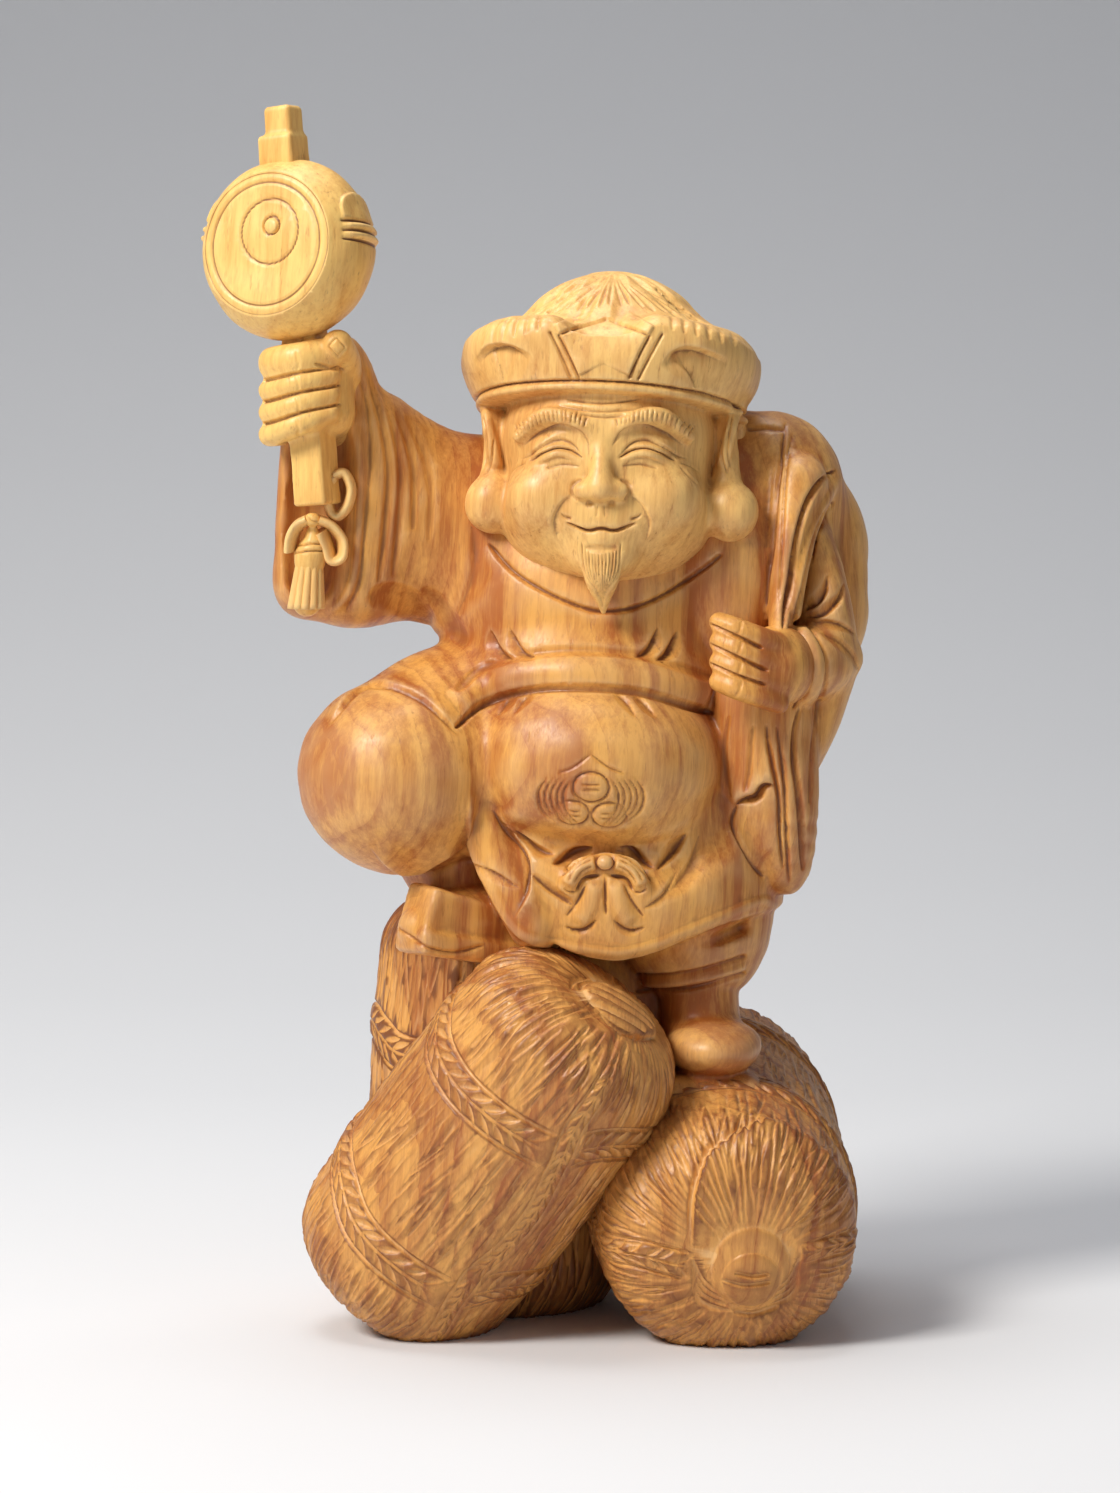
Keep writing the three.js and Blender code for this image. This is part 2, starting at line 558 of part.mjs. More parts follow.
function tassel(field) {
  const bell = [[-46.4, -13.4, 137.6, 1.9, 1.8], [-46.9, -12.9, 134, 3.3, 3.1]];
  field.join(limb([...bell, [-47.5, -12.6, 124, 3.8, 3.6]]), 0.4);
  field.cut(roundedBox([-47.6, -13, 121], [7, 7, 3.7], 0.3), 0.3);
  field.join(ellipsoid([-46.4, -14.6, 139.8], [1.7, 1.5, 1.5]), 0.4); // knot
  const cords = [
    [[-45.4, 140.4], [-43.6, 143], [-42.9, 146.8], [-41, 147.4], [-39.9, 145], [-41.6, 140.8]],
    [[-45.6, 139.8], [-42.6, 137.6], [-41.5, 134.6], [-43, 132.8]],
    [[-46.8, 139.9], [-49, 138.6], [-50.1, 135.6]],
  ];
  for (const cord of cords) field.join(limb(cord.map(([x, z]) => [x, -12.4, z, 1, 2.4])), 0.3);
  field.draw([[-50.2, 134], [-46.8, 134.4], [-43.2, 134]], 1.1, 0.5);
  for (const x of [-49, -47.4, -45.8]) field.draw([[x, 131.6], [x - 0.4, 124.8]], 1.1, 0.5);
}

// The left hand that holds the sack's neck

function holdingHand(field) {
  field.join(ellipsoid([34.4, -17, 114.4], [6.6, 6.4, 7.6], [0, 14, 0]), 1);
  field.join(limb([[38, -12, 114.4, 5.8, 5.6], [33, -17.5, 115, 6.4, 5.4]]), 2);
  for (let finger = 0; finger < 4; finger++) {
    const drop = 3.25 * finger;
    field.join(
      limb([
        [34.2, -21.6, 118.7 - drop, 1.8, 2.2],
        [30, -24, 120.3 - drop, 1.8, 2.1],
        [25.6, -24.8, 121.9 - drop, 1.8, 2],
        [21.9 + 0.2 * finger, -22.6, 123.1 - drop, 1.7, 2],
      ]),
      0.35,
    );
  }
}

// Wood that is left standing where the bales and the legs meet
function meetingOfBales(field) {
  field.join(ellipsoid([4, 9, 44], [20, 17, 30]), 1);
}

function sampled(low, high, step, carvings) {
  const field = new Field(low, high, step);
  for (const carve of carvings) carve(field);
  return solidOf(polygonise(field));
}

// From the field to triangles. Each cell is split into six tetrahedra round its diagonal, so that the surface
// closes everywhere. A corner of a cell is a number whose three bits are its steps along X, Y and Z.

const ringOfCorners = [1, 3, 2, 6, 4, 5];

// For each set of corners of a tetrahedron that lie inside: its triangles, whose points lie between two corners
const trianglesInside = [];
const oneInside = [[0, 1, 2, 3], [1, 0, 3, 2], [2, 3, 0, 1], [3, 2, 1, 0]];
const twoInside = [
  [0, 1, 2, 3], [0, 2, 3, 1], [0, 3, 1, 2],
  [1, 2, 0, 3], [1, 3, 2, 0], [2, 3, 0, 1],
];
for (const [i, j, k, l] of oneInside) {
  const inside = 1 << i;
  trianglesInside[inside] = [[[i, j], [i, k], [i, l]]];
  trianglesInside[15 - inside] = [[[i, j], [i, l], [i, k]]];
}
for (const [i, j, k, l] of twoInside) {
  trianglesInside[(1 << i) + (1 << j)] = [[[i, k], [i, l], [j, l]], [[i, k], [j, l], [j, k]]];
}

function polygonise({ low, step, size, values }) {
  const [nx, ny, nz] = size;
  const stepsOf = (corner) => [corner & 1, (corner >> 1) & 1, corner >> 2];
  const offset = [0, 1, 2, 3, 4, 5, 6, 7].map((corner) => {
    const [i, j, k] = stepsOf(corner);
    return (k * ny + j) * nx + i;
  });
  const made = new Int32Array(values.length * 8).fill(-1);
  const positions = [];
  const faces = [];
  const point = (cell, a, b) => {
    const from = cell + offset[Math.min(a, b)];
    const way = a ^ b;
    const key = from * 8 + way;
    if (made[key] < 0) {
      const t = values[from] / (values[from] - values[cell + offset[Math.max(a, b)]]);
      const start = new THREE.Vector3(from % nx, Math.floor(from / nx) % ny, Math.floor(from / (nx * ny)));
      const along = new THREE.Vector3(...stepsOf(way)).multiplyScalar(Math.min(0.97, Math.max(0.03, t)));
      made[key] = positions.length;
      positions.push(start.add(along).multiplyScalar(step).add(low));
    }
    return made[key];
  };
  for (let k = 0; k < nz - 1; k++) {
    for (let j = 0; j < ny - 1; j++) {
      for (let i = 0; i < nx - 1; i++) {
        const cell = (k * ny + j) * nx + i;
        const within = offset.map((off) => values[cell + off] < 0);
        if (within.every((inside) => inside === within[0])) continue;
        ringOfCorners.forEach((corner, n) => {
          const four = [0, corner, ringOfCorners[(n + 1) % 6], 7];
          const inside = four.reduce((sum, c, place) => sum + (within[c] ? 1 << place : 0), 0);
          for (const triangle of trianglesInside[inside] ?? []) {
            faces.push(triangle.map(([a, b]) => point(cell, four[a], four[b])));
          }
        });
      }
    }
  }
  return { positions, faces };
}

// Thins the triangles out to about the wanted number, by folding the edges that change the shape least.
function thinOut({ positions, faces }, wanted) {
  const around = positions.map(() => new Set());
  faces.forEach((f, n) => f.forEach((v) => around[v].add(n)));
  const quadrics = positions.map(() => new Float64Array(10));
  const edgeA = new THREE.Vector3();
  const edgeB = new THREE.Vector3();
  const normalOf = (a, b, c) => {
    edgeA.subVectors(b, a);
    edgeB.subVectors(c, a);
    return edgeA.clone().cross(edgeB);
  };
  for (const f of faces) {
    const [a, b, c] = f.map((v) => positions[v]);
    const n = normalOf(a, b, c);
    const carved = a.y < carvedFront.y && a.z > carvedFront.z;
    const area = (n.length() / 2) * (carved ? carvedFront.weight : 1);
    if (area < 1e-9) continue;
    n.normalize();
    const d = -n.dot(a);
    const plane = [n.x, n.y, n.z, d];
    for (const v of f) {
      let at = 0;
      for (let i = 0; i < 4; i++) for (let j = i; j < 4; j++) quadrics[v][at++] += area * plane[i] * plane[j];
    }
  }
  const errorAt = (q, p) =>
    q[0] * p.x * p.x +
    2 * q[1] * p.x * p.y +
    2 * q[2] * p.x * p.z +
    2 * q[3] * p.x +
    q[4] * p.y * p.y +
    2 * q[5] * p.y * p.z +
    2 * q[6] * p.y +
    q[7] * p.z * p.z +
    2 * q[8] * p.z +
    q[9];
  const matrix = new THREE.Matrix3();
  const bestPoint = (a, b, q) => {
    const middle = positions[a].clone().add(positions[b]).multiplyScalar(0.5);
    matrix.set(q[0], q[1], q[2], q[1], q[4], q[5], q[2], q[5], q[7]);
    const size = q[0] + q[4] + q[7];
    if (matrix.determinant() > 1e-4 * size ** 3) {
      const solved = new THREE.Vector3(-q[3], -q[6], -q[8]).applyMatrix3(matrix.invert());
      if (solved.distanceTo(middle) < positions[a].distanceTo(positions[b])) return solved;
    }
    const choices = [positions[a].clone(), positions[b].clone(), middle];
    return choices.reduce((best, p) => (errorAt(q, p) < errorAt(q, best) ? p : best));
  };
  const age = new Int32Array(positions.length);
  const heap = [];
  const push = (item) => {
    let n = heap.push(item) - 1;
    while (n > 0) {
      const up = (n - 1) >> 1;
      if (heap[up].cost <= item.cost) break;
      heap[n] = heap[up];
      n = up;
    }
    heap[n] = item;
  };
  const pop = () => {
    const top = heap[0];
    const last = heap.pop();
    if (heap.length) {
      let n = 0;
      for (;;) {
        let child = 2 * n + 1;
        if (child >= heap.length) break;
        if (child + 1 < heap.length && heap[child + 1].cost < heap[child].cost) child++;
        if (last.cost <= heap[child].cost) break;
        heap[n] = heap[child];
        n = child;
      }
      heap[n] = last;
    }
    return top;
  };
  const addEdge = (a, b) => {
    const q = quadrics[a].map((v, i) => v + quadrics[b][i]);
    const to = bestPoint(a, b, q);
    const cost = errorAt(q, to) + 1e-6 * positions[a].distanceToSquared(positions[b]);
    push({ a, b, q, to, cost, ages: age[a] + age[b] });
  };
  const neighbours = (v) => {
    const found = new Set();
    for (const n of around[v]) for (const w of faces[n]) if (w !== v) found.add(w);
    return found;
  };
  for (const f of faces) for (let i = 0; i < 3; i++) if (f[i] < f[(i + 1) % 3]) addEdge(f[i], f[(i + 1) % 3]);
  const turnsOver = (v, other, to) => {
    for (const n of around[v]) {
      const f = faces[n];
      if (f.includes(other)) continue;
      const before = normalOf(...f.map((w) => positions[w]));
      const after = normalOf(...f.map((w) => (w === v ? to : positions[w])));
      if (before.dot(after) < 0.25 * before.length() * after.length()) return true;
    }
    return false;
  };
  let left = faces.length;
  while (left > wanted && heap.length) {
    const { a, b, q, to, ages } = pop();
    if (!around[a].size || !around[b].size || age[a] + age[b] !== ages) continue;
    const shared = [...neighbours(a)].filter((v) => neighbours(b).has(v));
    if (shared.length !== 2 || turnsOver(a, b, to) || turnsOver(b, a, to)) continue;
    positions[a] = to;
    quadrics[a] = q;
    for (const n of around[b]) {
      const f = faces[n];
      if (f.includes(a)) {
        for (const v of f) if (v !== b) around[v].delete(n);
        faces[n] = null;
        left--;
      } else {
        f[f.indexOf(b)] = a;
        around[a].add(n);
      }
    }
    around[b].clear();
    age[a]++;
    for (const v of neighbours(a)) addEdge(a, v);
  }
  return { positions, faces: faces.filter(Boolean) };
}

function geometryOf({ positions, faces }) {
  const flat = new Float32Array(faces.length * 9);
  faces.forEach((f, n) => f.forEach((v, k) => positions[v].toArray(flat, 9 * n + 3 * k)));
  return new THREE.BufferGeometry().setAttribute("position", new THREE.BufferAttribute(flat, 3));
}

// Bales and mallet

// Turns a geometry whose own axis is Y so that the axis points along a direction, and moves it to a place.
function laid(geometry, at, along) {
  const turn = new THREE.Quaternion().setFromUnitVectors(
    new THREE.Vector3(0, 1, 0),
    new THREE.Vector3(...along).normalize(),
  );
  return geometry.applyQuaternion(turn).translate(...vector(at).toArray());
}

// A bale's profile: at each end a knob, a lid and a rounded shoulder, and a raised ring of rope on each side.
function baleProfile(size) {
  const half = bale.halfLength * size;
  const rounding = bale.endRounding * size;
  const bodyAt = (y) => bale.bodyRadius * size * (1 - bale.thinning * (y / half) ** 2);
  const corner = bodyAt(half - rounding) - rounding;
  const points = [
    [0, half + bale.knobHeight],
    [bale.knobRadius * 0.8, half + bale.knobHeight * 0.8],
    [bale.knobRadius, half],
  ];
  for (const turn of [0.1, 0.4, 0.7, 1, 1.3]) {
    points.push([corner + rounding * Math.sin(turn), half - rounding * (1 - Math.cos(turn))]);
  }
  for (const [off, rise] of [[0.5, 0], [0.32, 1], [-0.32, 1], [-0.5, 0]]) {
    const y = bale.ropeAt + off * bale.ropeWidth;
    points.push([bodyAt(y) + rise * bale.ropeHeight, y]);
  }
  points.push([bodyAt(0), 0]);
  const below = points.slice(0, -1).map(([x, y]) => [x, -y]);
  return [...below, ...points.reverse()].map(([x, y]) => new THREE.Vector2(x, y));
}

function baleGeometry({ at, along, size }) {
  return laid(new THREE.LatheGeometry(baleProfile(size), bale.sides), at, along);
}

function malletGeometry() {
  const { midRadius, faceRadius, length, ringRadius, bossRadius, grooveWidth, grooveDepth } = mallet;
  const half = length / 2;
  const face = [];
  for (const radius of [bossRadius, ringRadius, faceRadius - mallet.rimWidth]) {
    face.push([radius - grooveWidth / 2, 0], [radius, grooveDepth], [radius + grooveWidth / 2, 0]);
  }
  face.push([faceRadius, 0]);
  const bulge = midRadius - faceRadius;
  const side = [-0.7, -0.35, 0, 0.35, 0.7].map((y) => [midRadius - bulge * y * y, y * half]);
  const points = [
    [0, -half],
    ...face.map(([r, sunk]) => [r, -half + sunk]),
    ...side,
    ...face.reverse().map(([r, sunk]) => [r, half - sunk]),
    [0, half],
  ];
  const profile = points.map(([x, y]) => new THREE.Vector2(x, y));
  return laid(new THREE.LatheGeometry(profile, mallet.sides), mallet.at, mallet.along);
}

// The handle runs through the barrel and ends above it in a thinner peg.
function handleGeometry() {
  const low = vector(handle.low);
  const high = vector(handle.high);
  const length = high.distanceTo(low);
  const thick = handle.width / 2;
  const thin = thick * handle.pegShare;
  const shoulder = length / 2 - handle.pegHeight;
  const bevel = thick - thin;
  const points = [
    [0, -length / 2],
    [thick, -length / 2],
    [thick, shoulder],
    [thin, shoulder + bevel],
    [thin, length / 2 - bevel],
    [thin - bevel, length / 2],
    [0, length / 2],
  ];
  const profile = points.map(([x, y]) => new THREE.Vector2(x * Math.SQRT2, y));
  const square = new THREE.LatheGeometry(profile, 4);
  square.rotateY(Math.PI / 4 - Math.atan2(mallet.along[0], -mallet.along[1]));
  const middle = low.clone().add(high).divideScalar(2 * share);
  return laid(square, middle.toArray(), high.sub(low).toArray());
}

// Joining it all to one solid

const wasm = await Module();
wasm.setup();

// A solid from its corner points and triangles
function solidOf({ positions, faces }) {
  const vertProperties = new Float32Array(positions.length * 3);
  positions.forEach((p, n) => p.toArray(vertProperties, 3 * n));
  const triVerts = new Uint32Array(faces.flat());
  return new wasm.Manifold(new wasm.Mesh({ numProp: 3, vertProperties, triVerts }));
}

// The corner points and triangles of a turned or boxed geometry, with the corners that it repeats merged
function mergedFaces(geometry) {
  const places = geometry.toNonIndexed().getAttribute("position");
  const merged = mergeVertices(new THREE.BufferGeometry().setAttribute("position", places), 1e-4);
  const at = merged.getAttribute("position");
  const index = merged.index.array;
  const positions = [];
  for (let n = 0; n < at.count; n++) positions.push(new THREE.Vector3().fromBufferAttribute(at, n));
  const faces = [];
  for (let i = 0; i < index.length; i += 3) faces.push([...index.subarray(i, i + 3)]);
  return { positions, faces };
}

// The corner points and triangles of a solid
function facesOf(solid) {
  const { numProp, vertProperties, triVerts } = solid.getMesh();
  const positions = [];
  for (let i = 0; i < vertProperties.length; i += numProp) {
    positions.push(new THREE.Vector3(...vertProperties.subarray(i, i + 3)));
  }
  const faces = [];
  for (let i = 0; i < triVerts.length; i += 3) faces.push([...triVerts.subarray(i, i + 3)]);
  return { positions, faces };
}

// Everything under the ground is sawn off flat.
function ground() {
  const reach = 2 * figureHeight;
  const slab = new THREE.BoxGeometry(reach, reach, reach);
  return solidOf(mergedFaces(slab.translate(0, 0, -reach / 2)));
}

const robeForms = [robe, legs, raisedSleeve, holdingSleeve, sack, robeCarving, meetingOfBales];
const fields = [
  sampled([-64, -46, 12], [56, 48, 178], fineness.robe, robeForms),
  sampled([-26, -38, 116], [36, 26, 188], fineness.head, [head, faceCarving, hat, hatCarving]),
  sampled([-60, -26, 118], [-30, 6, 176], fineness.hands, [fist, tassel]),
  sampled([16, -32, 102], [48, -3, 128], fineness.hands, [holdingHand]),
];
const turned = [...baleLying.map(baleGeometry), malletGeometry(), handleGeometry()];
const solids = [...fields, ...turned.map((shape) => solidOf(mergedFaces(shape)))];
const whole = solids.reduce((all, next) => all.add(next));
const thinned = solidOf(thinOut(facesOf(whole), keptTriangles));
const geometry = geometryOf(facesOf(thinned.subtract(ground())));
geometry.computeBoundingBox();
const { min, max } = geometry.boundingBox;
geometry.translate(-(min.x + max.x) / 2, -(min.y + max.y) / 2, 0);

const wood = new THREE.MeshStandardMaterial({ color: 0xc98f4a, roughness: 0.45, metalness: 0 });
const figure = new THREE.Mesh(geometry, wood);
figure.name = "daikoku_figure";

const part = new THREE.Group();
part.add(figure);
export default part;
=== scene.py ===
# Carved zelkova figure of the fortune god, standing on three rice bales: the looks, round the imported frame.
import math
import time

import bmesh
import bpy
import numpy as np
from mathutils import Matrix, Vector


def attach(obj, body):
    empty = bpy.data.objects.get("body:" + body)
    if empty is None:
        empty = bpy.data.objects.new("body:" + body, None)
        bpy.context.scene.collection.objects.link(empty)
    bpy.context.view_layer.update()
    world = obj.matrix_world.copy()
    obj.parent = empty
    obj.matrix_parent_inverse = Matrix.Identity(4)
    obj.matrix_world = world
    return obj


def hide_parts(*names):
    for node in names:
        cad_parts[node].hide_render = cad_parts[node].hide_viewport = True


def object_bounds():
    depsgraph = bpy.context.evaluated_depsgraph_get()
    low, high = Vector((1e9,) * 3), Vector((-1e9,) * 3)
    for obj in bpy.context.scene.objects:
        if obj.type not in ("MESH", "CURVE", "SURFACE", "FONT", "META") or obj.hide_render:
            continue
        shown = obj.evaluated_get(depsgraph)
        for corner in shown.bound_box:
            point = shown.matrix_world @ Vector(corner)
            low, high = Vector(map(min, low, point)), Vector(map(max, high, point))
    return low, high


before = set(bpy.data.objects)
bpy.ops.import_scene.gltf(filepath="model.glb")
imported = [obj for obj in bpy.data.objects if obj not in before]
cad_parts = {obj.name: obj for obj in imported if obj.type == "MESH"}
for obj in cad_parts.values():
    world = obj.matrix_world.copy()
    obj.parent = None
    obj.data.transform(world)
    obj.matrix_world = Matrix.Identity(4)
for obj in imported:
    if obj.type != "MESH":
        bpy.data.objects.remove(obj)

started = time.time()
cadBox = [list(corner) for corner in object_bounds()]

# The wood is worked out in millimetres on the carver's own axes: +Z up, front towards -Y, ground at zero.
figure = {
    "height": 210.0,
    "toFrame": (7.562, 0.606, 0.0),  # from those axes to the middle of the frame's box
    "node": "daikoku_figure",
    "body": "root",
    "slot": "wood",
}
metres = (cadBox[1][2] - cadBox[0][2]) / figure["height"]


def report(text):
    print(f"[{time.time() - started:5.1f} s] {text}", flush=True)


# Curves and soft forms

def spline(points, count):
    # a smooth path through rows of numbers, which are places and whatever else changes along it
    p = np.asarray(points, float)
    p = np.vstack([2 * p[0] - p[1], p, 2 * p[-1] - p[-2]])
    t = np.linspace(0, len(points) - 1, count)
    k = np.minimum(t.astype(int), len(points) - 2)
    f = (t - k)[:, None]
    a, b, c, d = p[k], p[k + 1], p[k + 2], p[k + 3]
    return b + 0.5 * f * (c - a + f * (2 * a - 5 * b + 4 * c - d + f * (3 * (b - c) + d - a)))


def ownAxes(turn):
    a, b, c = (math.radians(v) for v in turn)
    spin = Matrix.Rotation(a, 3, "X") @ Matrix.Rotation(b, 3, "Y") @ Matrix.Rotation(c, 3, "Z")
    return np.array(spin.transposed(), np.float32)


def ballDistance(x, y, z, a, b, c):
    near = np.sqrt((x / a) ** 2 + (y / b) ** 2 + (z / c) ** 2)
    slope = np.sqrt((x / (a * a)) ** 2 + (y / (b * b)) ** 2 + (z / (c * c)) ** 2)
    return near * (near - 1) / np.maximum(slope, 1e-6)


# A form is its lowest and highest corner and a distance, which is negative inside it.
def ball(at, radii, turn=(0, 0, 0)):
    at = np.array(at, np.float32)
    spin = ownAxes(turn)
    reach = max(radii) if any(turn) else np.array(radii)

    def distance(x, y, z):
        p = (x - at[0], y - at[1], z - at[2])
        if any(turn):
            p = [row[0] * p[0] + row[1] * p[1] + row[2] * p[2] for row in spin]
        return ballDistance(*p, *radii)

    return at - reach, at + reach, distance


def block(at, half, rounding, turn=(0, 0, 0)):
    at = np.array(at, np.float32)
    spin = ownAxes(turn)
    a, b, c = (h - rounding for h in half)
    reach = math.hypot(*half)

    def distance(x, y, z):
        p = (x - at[0], y - at[1], z - at[2])
        q = [abs(row[0] * p[0] + row[1] * p[1] + row[2] * p[2]) - h for row, h in zip(spin, (a, b, c))]
        outside = np.sqrt(sum(np.maximum(v, 0) ** 2 for v in q))
        return outside + np.minimum(np.maximum(np.maximum(q[0], q[1]), q[2]), 0) - rounding

    return at - reach, at + reach, distance


def limb(points, facing=(0, 1, 0), steps=10):
    # a tube along points [x, y, z, half width, half thickness], the thickness along facing
    rings = spline(points, steps + 1)
    centres = rings[:, :3]
    along = np.gradient(centres, axis=0)
    along /= np.linalg.norm(along, axis=1)[:, None]
    thick = np.array(facing, float) - along * (along @ np.array(facing, float))[:, None]
    thick /= np.linalg.norm(thick, axis=1)[:, None]
    wide = np.cross(along, thick)
    far = 40.0

    def distance(x, y, z):
        axes = [axis.ravel() for axis in (x, y, z)]
        least = np.full([len(axis) for axis in axes], far, np.float32)
        for n in range(steps):
            start, run = centres[n], centres[n + 1] - centres[n]
            reach = rings[n:n + 2, 3:].max() + 4
            low = np.minimum(start, start + run) - reach
            high = np.maximum(start, start + run) + reach
            cut = tuple(slice(*np.searchsorted(axis, ends)) for axis, ends in zip(axes, zip(low, high)))
            if any(s.start >= s.stop for s in cut):
                continue
            px = x[cut[0]] - start[0]
            py = y[:, cut[1]] - start[1]
            pz = z[:, :, cut[2]] - start[2]
            t = np.clip((px * run[0] + py * run[1] + pz * run[2]) / (run @ run), 0, 1)
            q = (px - t * run[0], py - t * run[1], pz - t * run[2])
            w = rings[n, 3] + t * (rings[n + 1, 3] - rings[n, 3])
            h = rings[n, 4] + t * (rings[n + 1, 4] - rings[n, 4])
            p = [q[0] * v[0] + q[1] * v[1] + q[2] * v[2] for v in (wide[n], thick[n], along[n])]
            found = ballDistance(*p, w, h, np.minimum(w, h))
            least[cut] = np.minimum(least[cut], found)
        return least

    reach = rings[:, 3:].max()
    return centres.min(0) - reach, centres.max(0) + reach, distance


def within(form, limit):
    # keeps the part of a form where limit is negative
    low, high, distance = form
    return low, high, lambda x, y, z: np.maximum(distance(x, y, z), limit(x, y, z))


class Field:
    # distances on a grid of points, negative inside the wood
    def __init__(self, low, high, step):
        self.low = np.array(low, float)
        self.step = step
        self.size = (np.ceil((np.array(high) - self.low) / step)).astype(int) + 1
        self.values = np.full(self.size, 10, np.float32)

    def window(self, low, high, margin):
        margin += 3 * self.step
        first = np.clip(((low - margin - self.low) / self.step).astype(int), 0, self.size)
        last = np.clip(((high + margin - self.low) / self.step).astype(int) + 2, 0, self.size)
        axes = [(o + self.step * np.arange(a, b)).astype(np.float32) for a, b,
                o in zip(first, last, self.low)]
        return tuple(slice(a, b) for a, b in zip(first, last)), np.ix_(*axes)

    def join(self, form, soft=1.0):
        cut, places = self.window(form[0], form[1], soft)
        here, found = self.values[cut], form[2](*places)
        near = np.maximum(soft - abs(here - found), 0)
        self.values[cut] = np.minimum(here, found) - near * near / (4 * soft)

    def cut(self, form, soft=0.6):
        cut, places = self.window(form[0], form[1], soft)
        here, found = self.values[cut], -form[2](*places)
        near = np.maximum(soft - abs(here - found), 0)
        self.values[cut] = np.maximum(here, found) + near * near / (4 * soft)


def surfaceOf(field):
    # the zero surface of a field as four-sided faces, one corner in each cell that it passes
    values, size = field.values, field.values.shape
    inside = values < 0
    corners = [(i, j, k) for i in (0, 1) for j in (0, 1) for k in (0, 1)]
    count = np.zeros([n - 1 for n in size], np.uint8)
    for c in corners:
        count += inside[tuple(slice(o, o + n - 1) for o, n in zip(c, size))]
    active = (count > 0) & (count < 8)
    cells = np.argwhere(active)
    index = np.full(active.shape, -1, np.int32)
    index[active] = np.arange(len(cells))
    at = {c: values[tuple((cells + c).T)] for c in corners}
    total = np.zeros((len(cells), 3))
    times = np.zeros((len(cells), 1))
    for a in corners:
        for axis in range(3):
            if a[axis]:
                continue
            b = tuple(v + (n == axis) for n, v in enumerate(a))
            crosses = (at[a] < 0) != (at[b] < 0)
            t = at[a][crosses] / (at[a][crosses] - at[b][crosses])
            total[crosses] += np.array(a)
            total[crosses, axis] += t
            times[crosses] += 1
    points = (cells + total / times) * field.step + field.low
    faces = []
    for axis in range(3):
        u, v = (axis + 1) % 3, (axis + 2) % 3
        lower = [slice(None)] * 3
        upper = [slice(None)] * 3
        lower[axis], upper[axis] = slice(0, -1), slice(1, None)
        change = inside[tuple(lower)].astype(np.int8) - inside[tuple(upper)].astype(np.int8)
        for way in (1, -1):
            edges = np.argwhere(change == way)
            turns = ((1, 1), (0, 1), (0, 0), (1, 0))
            steps = [np.array([-(n == u) * a - (n == v) * b for n in range(3)]) for a, b in turns]
            quad = np.stack([index[tuple((edges + s).T)] for s in steps], 1)
            faces.append(quad if way > 0 else quad[:, ::-1])
    return points, np.vstack(faces)


# Carving: cuts and raised parts are drawn on a flat sheet that is then laid on the wood

